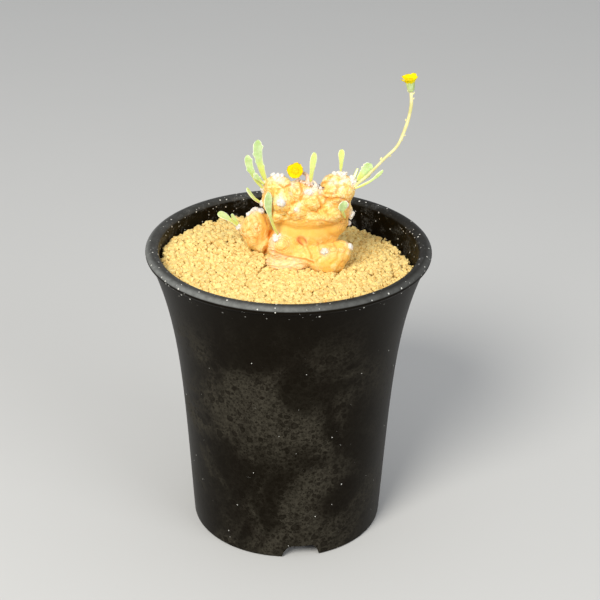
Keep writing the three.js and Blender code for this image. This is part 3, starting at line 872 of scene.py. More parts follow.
# Folds in the bark: points along each, then its depth and half width, in millimetres.
FOLDS = [
    ([(5.8, 99.1), (6.6, 97.3), (7.2, 95.1)], 0.26, 0.28),
    ([(3.2, 102.2), (4.4, 99.3), (5.6, 96.8)], 0.12, 0.22),
    ([(-5.3, 104.0), (-6.4, 100.9), (-7.2, 98.2), (-7.5, 95.0)], 1.3, 0.48),
    ([(-5.3, 97.6), (-2.2, 95.9), (2.0, 95.1), (5.6, 94.5), (7.6, 93.5)], 0.4, 0.35),
    ([(-4.8, 98.6), (-2.4, 97.6), (-0.2, 98.9)], 0.15, 0.25),
    ([(-8.3, 110.7), (-7.1, 108.7), (-6.5, 106.3)], 0.2, 0.25),
    ([(-10.2, 109.3), (-9.2, 107.3), (-9.9, 104.6)], 0.16, 0.25),
    ([(9.1, 100.4), (10.1, 95.9), (8.6, 93.8)], 0.15, 0.3),
    ([(-4.0, 120.7), (-1.6, 118.7), (0.8, 120.1), (2.4, 118.1)], 0.3, 0.3),
    ([(3.3, 120.4), (4.2, 117.1), (3.3, 114.8), (0.9, 113.5)], 0.34, 0.35),
    ([(8.8, 116.2), (10.1, 112.9), (8.3, 110.5)], 0.25, 0.35),
    ([(10.0, 120.2), (12.4, 121.5), (14.9, 119.5), (14.0, 116.9), (11.3, 117.2)], 0.28, 0.35),
    ([(9.2, 117.4), (12.4, 115.0), (15.6, 115.6), (18.6, 114.2)], 0.4, 0.4),
    (
        [
            *((-4.3, 108.4), (-1.8, 107.4), (0.3, 108.4), (3.1, 109.1)),
            *((6.5, 107.8), (10.2, 108.2), (13.9, 106.9), (16.7, 107.7)),
        ],
        0.1,
        0.3,
    ),
    ([(13.8, 100.6), (15.4, 98.0), (15.1, 95.2), (12.9, 93.4)], 0.1, 0.3),
    ([(17.6, 98.0), (16.9, 94.4), (15.1, 91.6)], 0.08, 0.3),
    ([(8.5, 99.1), (10.3, 100.2), (12.9, 99.5)], 0.08, 0.3),
]


def spread_points(points, count, space, rng):
    """Up to count of the points, none nearer to another than space."""
    order = list(range(len(points)))
    rng.shuffle(order)
    kept = []
    for i in order:
        if len(kept) == count:
            break
        if all(np.linalg.norm(points[i] - points[k]) > space for k in kept):
            kept.append(i)
    return [points[i] for i in kept]


def neighbour_mean(piece, values, rounds):
    """Values averaged over neighbouring vertices, several times."""
    edges = np.empty(len(piece.data.edges) * 2, np.int32)
    piece.data.edges.foreach_get("vertices", edges)
    a, b = edges.reshape(-1, 2).T
    degree = np.bincount(a, minlength=len(values)) + np.bincount(b, minlength=len(values))
    for _ in range(rounds):
        total = np.bincount(a, values[b], len(values)) + np.bincount(b, values[a], len(values))
        values = (values + total) / (degree + 1)
    return values


def cobbles(points, size, wander, seed):
    """Cushions divided by creases: 0 in a crease and near 1 on a cushion."""
    shift = Vector((seed, -seed, 0.5 * seed))
    made = np.empty(len(points))
    for i, p in enumerate(points):
        at = Vector(p) / size + shift
        at += noise.noise_vector(at * 0.9) * wander
        near = noise.voronoi(at)[0]
        made[i] = near[1] - near[0]
    return 1 - np.exp(-made / 0.16)


def bump_at(points, middle, radius):
    away = np.linalg.norm(points - middle, axis=1) / MM
    return np.exp(-((away / radius) ** 2))


def growth_rings(away, radius, spacing, ends, clear):
    """Ripples round a growing point: their height, and a mask of the grooves between them."""
    fading = smoothstep(*ends, away)
    wave = np.cos(math.tau * (away - radius) / spacing)
    near = smoothstep(clear, 0.8, away / radius)
    return wave * fading * near, fading * near * smoothstep(0.1, -0.8, wave)


def on_mark_plane(points, normals):
    """Where each point falls on the plane of the marks, and how much it faces the show side."""
    eye = np.array(bpy.context.scene.othonna_stage.eye)
    ahead = points - eye
    flat = eye + ahead * ((-MARK_PLANE - eye[1]) / ahead[:, 1])[:, None]
    turned = -(normals * ahead).sum(1) / np.linalg.norm(ahead, axis=1)
    return flat[:, [0, 2]] / MM, smoothstep(0.0, 0.25, turned)


def from_route(points, route):
    """Distance of flat points from a line through several places."""
    off = np.full(len(points), 9.0)
    for start, end in zip(np.array(route), np.array(route[1:])):
        run = end - start
        along = np.clip((points - start) @ run / (run @ run), 0, 1)
        off = np.minimum(off, np.linalg.norm(points - start - along[:, None] * run, axis=1))
    return off


def caudex_relief(piece, look):
    """Knobs, rings and folds on the caudex, and the masks that its bark reads."""
    rng = random.Random(11)
    points, normals = points_of(piece), normals_of(piece)
    x, y = points[:, 0] / MM, points[:, 1] / MM
    height = (points[:, 2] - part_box("grit")[1].z + 2.5 * MM) / MM

    # Where the bark is warty: all over the crown, less on the side lobe and on the foot.
    crown = smoothstep(14.0, 18.6, height)
    foot = 1 - smoothstep(9.5, 12.5, height)
    side = smoothstep(-8, -10.5, x)
    rough = np.clip(crown + 0.45 * side + 0.3 * foot + 0.04, 0, 1)

    # Lumps, warts of two sizes, winding furrows and single knobs.
    lift = 0.3 * MM * perlin(points, 4.6 * MM) + 0.22 * MM * perlin(points, 2.2 * MM, 7) * rough
    large = cobbles(points, 4.0 * MM, 1.1, 3.1)
    small = cobbles(points, 1.7 * MM, 1.3, 8.4)
    swirl = np.stack([perlin(points, 3.4 * MM, k) for k in (61, 62, 63)], axis=1) * 2.4 * MM
    worms = np.abs(perlin((points + swirl) * [1, 1, 1.5], 2.3 * MM, 64))
    worm = smoothstep(0.1, 0.0, worms)
    lift += look.wart_height * (large - 0.7) * rough
    lift += 0.3 * look.wart_height * (small - 0.6) * (0.12 + 0.88 * rough)
    lift -= 0.55 * look.wart_height * worm * (0.2 + 0.8 * rough)
    for knob in spread_points(points[height > 17], 120, 1.6 * MM, rng):
        size = rng.uniform(0.35, 0.75)
        lift += rng.uniform(0.35, 1.0) * look.wart_height * bump_at(points, knob, size)

    # Rings and a swelling round each growing point, and a dimple in a bare one.
    wobble = 0.5 * perlin(points, 1.7 * MM, 3) + 0.22 * perlin(points, 0.7 * MM, 31)
    ring, swell = np.zeros(len(points)), np.zeros(len(points))
    woolly = []
    for node in nodes_named("wool_"):
        low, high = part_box(node)
        woolly.append((np.array((low + high) / 2), (high - low).length / 3.1 / MM, 1))
    bare = [(np.array(m) * MM, r, n) for m, r, n in BARE_BUDS]
    for middle, radius, count in woolly + bare:
        away = np.linalg.norm(points - middle, axis=1) / MM + wobble * 0.55
        reach = 0.62 * count
        ends = (radius + reach + 0.5, radius + 0.2 * reach)
        ripple, groove = growth_rings(away, radius, 0.62, ends, 0.35)
        lift += look.ring_depth * ripple
        swell += bump_at(points, middle, 1.7 * radius)
        ring = np.maximum(ring, groove)
    lift += 0.3 * MM * np.minimum(swell, 1)
    for middle, radius, _ in bare:
        lift -= 0.22 * MM * bump_at(points, middle, 0.4 * radius)

    # Marks on the show side: buds, the leaf scar and folds.
    flat, front = on_mark_plane(points, normals)
    for middle, radius, count in SEEN_BUDS:
        away = np.linalg.norm(flat - middle, axis=1) + wobble * 0.4
        ends = (radius + count * 0.6 + 0.4, radius + 0.1)
        ripple, groove = growth_rings(away, radius, 0.6, ends, 0.3)
        lift += 1.3 * look.ring_depth * ripple * front
        lift += 0.35 * MM * np.exp(-((away / radius) ** 2)) * front
        ring = np.maximum(ring, groove * front)
    from_scar = flat - LEAF_SCAR
    across = from_scar @ np.array((0.80, 0.60))
    length = from_scar @ np.array((0.60, -0.80))
    oval = np.hypot(across / (0.95 - 0.12 * length), length / 1.75)
    rim = np.exp(-(((oval - 1) / 0.36) ** 2)) * front * foot
    lift += 0.28 * MM * rim - 0.3 * MM * smoothstep(0.9, 0.3, oval) * front * foot
    crease = np.zeros(len(points))
    wander = flat + 0.3 * np.stack([wobble, perlin(points, 1.4 * MM, 53)], axis=1)
    for route, depth, half in FOLDS:
        dent = np.exp(-((from_route(wander, route) / half) ** 2)) * front
        lift -= depth * MM * dent
        crease = np.maximum(crease, dent * min(1, 0.3 + 1.4 * depth))

    # Pink flesh at the foot and in the cleft, in soft folds.
    pad = smoothstep(6.6, 4.4, height + 0.28 * np.clip(x + 3, 0, None)) * smoothstep(9, 3, x)
    flank = smoothstep(-3.4, -5.0, x) * smoothstep(12.5, 9.5, height)
    pink = np.maximum(pad, flank) * smoothstep(-11, -9, x) * smoothstep(4, 0, y)
    folds = np.abs(perlin(points * [0.55, 0.55, 1.5], 1.5 * MM, 17))
    lift += (0.34 * MM * smoothstep(0.0, 0.3, folds) - 0.16 * MM) * pink

    # The crown's overhang and the rings below it.
    waist = height - 0.9 * perlin(points * [1, 1, 0.4], 3.2 * MM, 23)
    overhang = smoothstep(13.8, 17.2, waist) * smoothstep(21, 17.5, waist)
    lift += 0.14 * MM * overhang * smoothstep(-9, -6.5, x)
    shoulder = smoothstep(13.4, 14.6, waist) * smoothstep(17.5, 16.2, waist)
    lift += 0.04 * MM * np.sin(math.tau * (waist + 0.5 * wobble) / 1.15) * shoulder

    set_points(piece, points + normals * lift[:, None])

    # Masks for the bark.
    raised = (lift - neighbour_mean(piece, lift, 30)) / MM
    valley = np.maximum(smoothstep(-0.03, -0.15, raised), 0.75 * worm)
    upward = smoothstep(0.35, 0.85, normals[:, 2]) * smoothstep(20, 24.5, height)
    felt = 0.5 * upward * smoothstep(-0.15, 0.35, perlin(points, 2.1 * MM, 41))
    patchy = smoothstep(0.05, 0.4, perlin(points, 1.3 * MM, 43))
    felt += 0.7 * bump_at(points, np.array(RIGHT_BROW) * MM, 4.2) * patchy
    for middle, radius, _ in woolly:
        felt += 0.6 * bump_at(points, middle, 1.1 * radius)
    busy = np.clip(crown + 0.9 * side + 0.6 * foot, 0, 1)
    # Painted shade: rust darkens the neck under the crown's right brow.
    painted_shade_under_brow = 0.3 * bump_at(points, np.array(SHADE_UNDER_BROW) * MM, 6.0)
    masks = {
        # hollow: rust in creases and folds, partly their own colour, partly painted shade; under the
        # brow it is painted shade.
        "hollow": valley * (0.12 + 0.8 * busy) + crease + painted_shade_under_brow,
        # crest: cream on raised warts, partly pale bark, partly painted highlight; the side lobe's
        # share is painted light against the crown's shade.
        "crest": smoothstep(0.0, 0.16, raised) * (0.1 + 0.9 * busy) + 0.35 * side,
        "busy": busy,
        "ring": ring,
        "pink": pink,
        "smooth": 1 - rough,
        "felt": felt,
        "scar": 1.4 * rim * smoothstep(1.8, 0.2, length),
    }
    for name, values in masks.items():
        paint(piece, name, np.clip(values, 0, 1))


class OTHONNA_OT_caudex(bpy.types.Operator):
    """Builds the caudex's warty golden skin over the CAD lobes"""

    bl_idname = "othonna.caudex"
    bl_label = "Caudex"

    def execute(self, context):
        look = context.scene.othonna_caudex
        piece = merged_copy("caudex", "caudex_bark")
        modify(piece, "REMESH", mode="VOXEL", voxel_size=look.voxel)
        modify(piece, "SMOOTH", factor=0.5, iterations=18)
        caudex_relief(piece, look)
        complete(piece, bark_material(look), ["caudex"], math.radians(80))
        return {"FINISHED"}


# ---------------------------------------------------------------- grit


GRANULE_SHAPES = 9
LOWEST_GRIT = 84 * MM
# The upper layer, the lower one and crumbs: how far down they lie, their size beside a granule,
# how much of the grid they fill and whether they lie between the places of the upper layer.
GRIT_LAYERS = [
    {"drop": 0.0, "size": 1.0, "share": 1.0, "shift": 0},
    {"drop": 1.25 * MM, "size": 1.0, "share": 1.0, "shift": 1},
    {"drop": -0.2 * MM, "size": 0.45, "share": 0.22, "shift": 0},
]


def granule_shapes(rng, count):
    """Small rounded lumps of 24 faces each, about 1 across."""
    shapes = []
    for _ in range(count):
        bpy.ops.object.select_all(action="DESELECT")
        bpy.ops.mesh.primitive_cube_add(size=1)
        piece = added("granule")
        in_edit_mode(lambda: bpy.ops.mesh.subdivide(number_cuts=1))
        points = points_of(piece)
        ball = points / np.linalg.norm(points, axis=1)[:, None] * 0.5
        points = points * 0.3 + ball * 0.7
        seed = rng.uniform(0, 50)
        points *= 1 + 0.28 * perlin(points, 0.5, seed)[:, None]
        points *= [rng.uniform(0.8, 1.15) for _ in range(3)]
        faces = [list(f.vertices) for f in piece.data.polygons]
        shapes.append((points, faces))
        bpy.data.objects.remove(piece)
    return shapes


def seated(layer, place, tree, bark, pot, look, rng):
    """One granule over a place, as an entry for scatter, or None where there is no room."""
    x, y = place
    size = look.smallest + (look.largest - look.smallest) * rng.random() ** 1.3
    size *= layer["size"]
    hit = tree.ray_cast(Vector((x, y, 0.2)), -UP)[0]
    surface = tree.find_nearest(Vector((x, y, 0.091)))[0].z if hit is None else hit.z
    if surface < LOWEST_GRIT:
        return None
    lumps = noise.noise(Vector((x, y, 0)) / (7 * MM)) * 0.45 * MM
    z = surface - layer["drop"] - 0.25 * size + lumps + rng.uniform(-0.3, 0.3) * MM
    if math.hypot(x, y) > inside_radius(pot, z) - 0.42 * size:
        return None
    near, normal, _, gap = bark.find_nearest(Vector((x, y, z)))
    if (Vector((x, y, z)) - near).dot(normal) < 0 or gap < 0.36 * size:
        return None
    squash = np.diag([size, size, size * rng.uniform(0.75, 1)])
    return rng.randrange(GRANULE_SHAPES), random_turn(rng) @ squash, (x, y, z), rng.random()


class OTHONNA_OT_grit(bpy.types.Operator):
    """Fills the pot with clay granules in two layers over a shaded bed"""

    bl_idname = "othonna.grit"
    bl_label = "Grit"

    def execute(self, context):
        look, pot = context.scene.othonna_grit, context.scene.othonna_pot
        rng = random.Random(5)
        bed = merged_copy("grit", "grit_bed")
        tree = surface_of(bed)
        points = points_of(bed)
        on_top = points[:, 2] > 80 * MM
        set_points(bed, points - np.outer(on_top, (0, 0, 1.7 * MM)))
        complete(bed, bed_material(look), ["grit"])

        bark = surface_of(bpy.data.objects["caudex_bark"])
        shapes = granule_shapes(rng, GRANULE_SHAPES)
        step = look.spacing
        rows = int(pot.rim_radius / step / 0.866) + 1
        reach = int(pot.rim_radius / step) + 1
        layers = []
        for layer in GRIT_LAYERS:
            placed = []
            for row in range(-rows, rows + 1):
                for column in range(-reach, reach + 1):
                    if layer["share"] < 1 and rng.random() > layer["share"]:
                        continue
                    x = (column + 0.5 * (row % 2) + 0.37 * layer["shift"]) * step
                    y = row * step * 0.866 + 0.5 * step * layer["shift"]
                    x += rng.uniform(-0.34, 0.34) * step
                    y += rng.uniform(-0.34, 0.34) * step
                    granule = seated(layer, (x, y), tree, bark, pot, look, rng)
                    if granule:
                        placed.append(granule)
            layers.append(placed)
        top, under, crumbs = layers
        made = grit_material(look)
        rng.shuffle(top)
        half = len(top) // 2
        for name, places in (
            ("grit_granules_a", top[:half]),
            ("grit_granules_b", top[half:]),
            ("grit_granules_lower", under),
            ("grit_crumbs", crumbs),
        ):
            piece = scatter(name, shapes, places, "tint")
            complete(piece, made, [], math.radians(38))
        return {"FINISHED"}


# ---------------------------------------------------------------- wool


def strand(start, direction, length, width, bend):
    """One hair: a bent three-sided spike as (vertices, faces)."""
    side = direction.orthogonal().normalized()
    other = direction.cross(side)
    vertices = []
    for i, share in enumerate((0.0, 0.45, 0.8)):
        centre = start + direction * length * share + bend * share * share
        radius = width * (1 - 0.75 * share) / 2
        for k in range(3):
            angle = math.tau * k / 3
            vertices.append(centre + (side * math.cos(angle) + other * math.sin(angle)) * radius)
    vertices.append(start + direction * length + bend)
    faces = [[2, 1, 0]] + [[6 + k, 6 + (k + 1) % 3, 9] for k in range(3)]
    for a, b in ((0, 1), (1, 2), (2, 0)):
        faces += [[ring + a, ring + b, ring + 3 + b, ring + 3 + a] for ring in (0, 3)]
    return vertices, faces


# How far the clumps of a tuft spread along x, y and z in millimetres, how many there are and how
# large they are beside the tuft.
TUFT_SHAPES = {
    "wool_side_top": ((2.9, 1.2, 0.6), 9, 0.5),
    "wool_left_top": ((1.7, 1.0, 0.5), 6, 0.55),
    "wool_foot_left": ((1.3, 0.8, 0.7), 6, 0.6),
    "wool_left_front": ((0.7, 0.4, 0.9), 6, 0.72),
    "wool_foot_front": ((0.6, 0.4, 0.6), 5, 0.72),
    "wool_foot_tip": ((0.2, 0.6, 0.8), 4, 0.66),
    "wool_right_low": ((0.4, 0.4, 0.3), 3, 1.0),
    "wool_right_top": ((2.0, 1.0, 0.4), 7, 0.5),
    "wool_right_cluster": ((0.9, 1.4, 1.9), 8, 0.5),
    "wool_right_side": ((0.3, 0.8, 1.3), 5, 0.6),
    "wool_centre_front": ((1.5, 0.5, 0.9), 6, 0.45),
    "wool_centre_top": ((1.2, 0.6, 0.3), 5, 0.5),
    "wool_middle_front": ((0.4, 0.2, 0.4), 3, 0.6),
}


def wool_clump(name, seat, out, size, seeds, rng):
    """A lumpy core seated on the bark, and the hairs that stand out of it."""
    bpy.ops.object.select_all(action="DESELECT")
    bpy.ops.mesh.primitive_ico_sphere_add(subdivisions=3, radius=1)
    core = added(name)
    points = points_of(core)
    lumps = perlin(points, 0.7, seeds[0]) * 0.36 + perlin(points, 0.3, seeds[1]) * 0.2
    points *= (1 + lumps)[:, None]
    points = (points * [1, 1, 0.8]) @ turn_to(out).T
    set_points(core, points * size + np.array(seat + out * size * 0.15))
    hairs = []
    for _ in range(int(60 * (size / MM) ** 1.5) + 12):
        aim = Vector([rng.gauss(0, 1), rng.gauss(0, 1), abs(rng.gauss(0, 0.8))])
        aim = Vector(turn_to(out) @ np.array(aim.normalized()))
        start = seat + aim * size * rng.uniform(0.5, 0.85)
        way = (aim + Vector([rng.gauss(0, 0.5) for _ in range(3)])).normalized()
        length = size * rng.uniform(0.25, 0.55)
        bend = Vector([rng.gauss(0, 0.3) for _ in range(3)]) * length
        hairs.append(strand(start, way, length, rng.uniform(0.08, 0.15) * MM, bend))
    return core, hairs


class OTHONNA_OT_wool(bpy.types.Operator):
    """Grows a tuft of matted white hairs at each growing point"""

    bl_idname = "othonna.wool"
    bl_label = "Wool"

    def execute(self, context):
        made = wool_material(context.scene.othonna_caudex)
        bark = surface_of(bpy.data.objects["caudex_bark"])
        for number, node in enumerate(nodes_named("wool_")):
            rng = random.Random(100 + number)
            low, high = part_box(node)
            radius = (high - low).length / 2 / 1.55
            spread, clumps, share = TUFT_SHAPES.get(node, ((0.35, 0.35, 0.35), 4, 0.72))
            cores, vertices, faces = [], [], []
            for k in range(clumps):
                off = [w * (0 if k == 0 else rng.uniform(-1, 1)) * MM for w in spread]
                seat, out, _, _ = bark.find_nearest((low + high) / 2 + Vector(off))
                size = radius * share * rng.uniform(0.75, 1.2)
                seeds = (number + 5 * k, k)
                core, hairs = wool_clump(f"{node}_core_{k}", seat, out, size, seeds, rng)
                cores.append(core)
                for spikes, corners in hairs:
                    faces += [[c + len(vertices) for c in face] for face in corners]
                    vertices += [tuple(v) for v in spikes]
            fluff = from_arrays(f"{node}_fluff", vertices, faces)
            piece = joined(f"{node}_tuft", [*cores, fluff])
            complete(piece, made, [node], math.radians(60))
        return {"FINISHED"}


# ---------------------------------------------------------------- leaves

# What sets each leaf apart: teeth (share of its length, side, size in millimetres, right is 1),
# how young it is, where its blade starts, the width of neck and blade beside the CAD's, and how
# far its middle bows to the right in millimetres.
LEAF_HABITS = {
    "leaf_left_tall": {
        "teeth": [
            *((0.83, 1, 0.42), (0.7, -1, 0.36), (0.5, -1, 0.2)),
            *((0.38, 1, 0.34), (0.92, -1, 0.16)),
        ],
        "age": 0.0,
        "bow": -0.45,
    },
    "leaf_left_outer": {
        "teeth": [(0.85, 1, 0.42), (0.65, -1, 0.4), (0.95, -1, 0.14)],
        "age": 0.12,
        "blade": 0.84,
    },
    "leaf_left_small": {"teeth": [(0.55, 1, 0.35), (0.8, -1, 0.3)], "age": 0.05, "blade": 1.1},
    "leaf_left_spur": {"age": 0.4, "neck": 0.85},
    "leaf_front": {"age": 0.0, "start": 0.42, "neck": 0.8},
    "leaf_right_broad": {
        "teeth": [(0.66, -1, 0.5), (0.8, -1, 0.4), (0.92, -1, 0.25), (0.9, 1, 0.2), (0.5, -1, 0.2)],
        "age": 0.05,
        "blade": 0.95,
    },
    "leaf_top_middle": {"teeth": [(0.6, 1, 0.16)], "age": 0.7},
    "leaf_right_top": {"age": 0.8},
    "leaf_right_shade": {"age": 0.6},
    "leaf_right_stub": {"age": 0.95},
    "leaf_right_low": {"age": 0.3, "start": 0.6, "neck": 0.85, "blade": 1.15},
    "leaf_right_front": {"age": 0.0, "start": 0.4, "neck": 0.75, "blade": 1.3, "bow": -0.6},
}


# How far a leaf's foot is sunk in its wool, and where along it the blade is widest.
LEAF_SUNK = 0.7 * MM
WIDEST = 0.78


def leaf_frame(node):
    """A leaf's middle line and directions, read from its CAD solid.

    Returns a function from t to a point, the broad and thin directions, the length, and half widths
    of the neck and the blade.
    """
    source = merged_copy(node, "leaf_source")
    points = points_of(source)
    bpy.data.objects.remove(source)
    centre = points.mean(0)
    long, _, thin = np.linalg.svd(points - centre)[2]
    crown = np.array(middle_of("caudex"))
    ends = (points - centre) @ long
    tip, foot = (np.linalg.norm(centre + long * e - crown) for e in (ends.max(), ends.min()))
    if tip < foot:
        long, ends = -long, -ends
    if thin @ np.array((0, -1, 0.35)) < 0:
        thin = -thin
    broad = np.cross(thin, long)
    aside, ahead = (points - centre) @ broad, (points - centre) @ thin
    cuts = np.linspace(ends.min(), ends.max(), 12)
    rows = []
    for cut in cuts:
        near = np.abs(ends - cut) <= (cuts[1] - cuts[0]) * 0.9
        if near.sum() >= 4:
            middles = [(v[near].max() + v[near].min()) / 2 for v in (aside, ahead)]
            rows.append((cut, *middles, np.ptp(aside[near]) / 2))
    spots, asides, aheads, widths = np.array(rows).T
    order = 3 if len(rows) > 6 else 2
    aside, ahead = np.polyfit(spots, asides, order), np.polyfit(spots, aheads, order)
    start, end = ends.min() - LEAF_SUNK, ends.max()
    share = (spots - start) / (end - start)
    neck = widths[(share > 0.2) & (share < 0.45)].mean()

    def at(t):
        u = start + (end - start) * t
        inside = max(u, ends.min())
        bowed = broad * np.polyval(aside, inside) + thin * np.polyval(ahead, inside)
        return centre + long * u + bowed

    return at, broad, thin, end - start, neck, widths.max()


class OTHONNA_OT_leaves(bpy.types.Operator):
    """Builds the fleshy spoon-shaped leaves with their blunt teeth"""

    bl_idname = "othonna.leaves"
    bl_label = "Leaves"

    def execute(self, context):
        look = context.scene.othonna_leaf
        made = leaf_material(look)
        for number, node in enumerate(nodes_named("leaf_")):
            at, broad, thin, length, neck, blade = leaf_frame(node)
            habit = LEAF_HABITS.get(node, {})
            teeth, age, bow = habit.get("teeth", []), habit.get("age", 0.25), habit.get("bow", 0)
            opens = habit.get("start", 0.3)
            neck *= habit.get("neck", 1)
            blade *= habit.get("blade", 1)
            rng = random.Random(40 + number)
            waves = [rng.uniform(0, math.tau) for _ in range(3)]
            club = blade < 0.8 * MM
            right = 1 if broad[0] > 0 else -1
            sway_right = np.array((bow * MM, 0, 0))

            def half_width(t, side):
                if t < WIDEST:
                    foot = 0.6 + 0.4 * float(smoothstep(0, 0.28, t))
                    wide = neck * foot + (blade - neck) * float(smoothstep(opens, WIDEST, t))
                else:
                    wide = blade * math.sqrt(max(0.0, 1 - ((t - WIDEST) / (1 - WIDEST)) ** 2.4))
                for share, tooth_side, size in teeth:
                    if side * right == tooth_side:
                        off = (t - share) * length / MM
                        fall = 0.22 if off > 0 else 0.75
                        wide += size * MM * math.exp(-abs(off / fall) ** 1.5)
                ripple = 0.03 * math.sin(14 * t + waves[0] + side) * blade * min(1, t * 2)
                return wide + ripple

            def shape(t, turn):
                angle = math.tau * turn
                side = 1 if math.cos(angle) >= 0 else -1
                ease = min(1.0, t / 0.04) ** 0.5 if t < 0.04 else 1.0
                wide = half_width(t, side) * ease
                thick = look.thickness / 2 * (1.15 - 0.45 * t) * (1.35 if club else 1.0)
                thick *= math.sqrt(max(0.0, 1 - max(0.0, (t - 0.9) / 0.1) ** 2)) * ease
                x = math.copysign(abs(math.cos(angle)) ** 0.85, math.cos(angle))
                y = math.copysign(abs(math.sin(angle)) ** 0.8, math.sin(angle))
                cupped = 0.16 * blade * (x * x - 0.4) * float(smoothstep(0.3, 0.7, t))
                sway = 0.1 * blade * math.sin(5 * t + waves[1]) * x
                groove = -0.16 * thick * math.exp(-((x / 0.22) ** 2)) * (y > 0)
                lift = y * thick + cupped + sway + groove
                bend = sway_right * math.sin(math.pi * min(1, t)) ** 1.5
                return at(t) + bend + broad * wide * x + thin * lift

            marks = [
                ("along", lambda t, turn: t),
                ("edge", lambda t, turn: abs(math.cos(math.tau * turn))),
                ("age", lambda t, turn: age),
            ]
            piece = sleeve(f"{node}_blade", 64, 28, shape, marks)
            complete(piece, made, [node], math.radians(70))
        return {"FINISHED"}


# ---------------------------------------------------------------- flowers

# Points along each stalk in millimetres, then its radius at the foot and at the tip.
STALKS = {
    "flower_stalk_tall": (
        [
            *((20.2, -0.1, 117.3), (20.7, -0.1, 118.0), (24.5, -0.2, 121.6), (29.2, 0.2, 126.7)),
            *((32.6, 0.6, 130.2), (34.4, 0.9, 134.0), (35.9, 1.2, 138.9), (36.6, 1.3, 143.4)),
            *((36.5, 1.4, 146.7), (36.4, 1.5, 147.6)),
        ],
        0.4,
        0.55,
    ),
    "flower_stalk_short": (
        [
            *((5.5, -1.2, 117.5), (5.7, -0.7, 119.7), (5.4, 0.3, 120.9)),
            *((4.2, 1.5, 121.1), (3.3, 1.8, 121.2), (3.05, 1.35, 121.5)),
        ],
        0.62,
        0.54,
    ),
    "withered_stalk": ([(8.4, -2.6, 118.5), (7.9, -2.2, 119.4), (7.2, -2.2, 120.0)], 0.42, 0.24),
}
# The tall stalk's scales: height, side (right is 1), length and width, in millimetres.
SCALES = [
    *((146.7, 1, 1.2, 0.6), (145.3, 1, 0.9, 0.5), (147.4, -1, 1.3, 0.6), (138.3, -1, 1.0, 0.5)),
    *((133.6, 1, 0.9, 0.5), (132.2, 1, 0.7, 0.4), (127.8, 1, 0.8, 0.7), (125.9, -1, 1.2, 0.8)),
]


def smooth_route(points, count):
    """count points on a smooth curve through the given ones."""
    rough = np.array(points, float) * MM
    padded = np.vstack([2 * rough[0] - rough[1], rough, 2 * rough[-1] - rough[-2]])
    made = []
    for i in range(count):
        u = i / (count - 1) * (len(rough) - 1)
        k = min(int(u), len(rough) - 2)
        t = u - k
        a, b, c, d = padded[k : k + 4]
        square, cube = 2 * a - 5 * b + 4 * c - d, 3 * b - a - 3 * c + d
        made.append(0.5 * (2 * b + (c - a) * t + square * t**2 + cube * t**3))
    return np.array(made)


def stalk(name, points, foot, tip, ridge=0.05):
    route = smooth_route(points, 80)
    ways = np.gradient(route, axis=0)
    ways /= np.linalg.norm(ways, axis=1)[:, None]

    def shape(t, turn):
        k = t * 79
        i = min(int(k), 78)
        centre = route[i] + (route[i + 1] - route[i]) * (k - i)
        way = Vector(ways[round(k)])
        side = way.cross(Vector((0.1, 1, 0.2))).normalized()
        other = way.cross(side)
        angle = math.tau * turn
        radius = (foot + (tip - foot) * t) * MM
        radius *= 1 + ridge * math.cos(5 * angle) + 0.07 * noise.noise(Vector(centre) / (2 * MM))
        if t < 1e-6 or t > 1 - 1e-6:
            radius = 0
        return centre + np.array(side * math.cos(angle) + other * math.sin(angle)) * radius

    return sleeve(f"{name}_skin", 90, 20, shape)


def bract(name, seat, way, length, width):
    """A small pointed scale that lies along a stalk."""
    way = Vector(way).normalized()
    side = way.cross(SHOW_SIDE).normalized()
    out = side.cross(way)

    def shape(t, turn):
        angle = math.tau * turn
        half = 0 if t in (0, 1) else width / 2 * math.sin(math.pi * min(1, 0.25 + 0.75 * t))
        round_it = side * half * math.cos(angle) + out * half * 0.35 * math.sin(angle)
        return np.array(Vector(seat) + way * length * t + round_it)

    return sleeve(name, 8, 8, shape)


# Where withered scales and dry husks lie on top of the crown, in millimetres.
WITHERED = [
    *((2.4, -1.2, 119.4), (3.4, -1.4, 119.5), (4.5, -1.8, 119.6), (5.4, -2.2, 119.6)),
    *((5.9, -2.6, 119.8), (5.6, -3.2, 119.0), (5.8, -4.0, 118.6), (6.6, -2.6, 119.6)),
]
HUSKS = [(7.3, -3.0, 119.6), (9.4, -3.6, 119.2), (10.2, -3.2, 119.0)]


def flakes(name, places, each, size):
    """Small crumpled scales, each lot seated on the bark nearest to a place."""
    bark = surface_of(bpy.data.objects["caudex_bark"])
    rng = random.Random(len(places))
    made = []
    for i, place in enumerate(places):
        seat, out, _, _ = bark.find_nearest(Vector(place) * MM)
        for k in range(each):
            way = out + Vector([rng.gauss(0, 0.7) for _ in range(3)])
            start = seat + Vector([rng.gauss(0, 0.35) for _ in range(3)]) * MM
            length = size * rng.uniform(0.5, 1.0) * MM
            made.append(bract(f"{name}_{i}_{k}", start, way, length, 0.5 * size * MM))
    return made


def scales_on(route):
    """The tall stalk's scales, which lean outwards from its skin."""
    made = []
    for height, side, length, width in SCALES:
        i = int(np.argmin(np.abs(route[:, 2] - height * MM)))
        way = Vector(route[i] - route[i - 1]).normalized()
        aside = way.cross(SHOW_SIDE) * side
        seat = Vector(route[i]) + aside * 0.36 * MM
        name = f"scale_{i}_{side}"
        made.append(bract(name, seat, way + aside * 0.8, length * MM, width * MM))
    return made


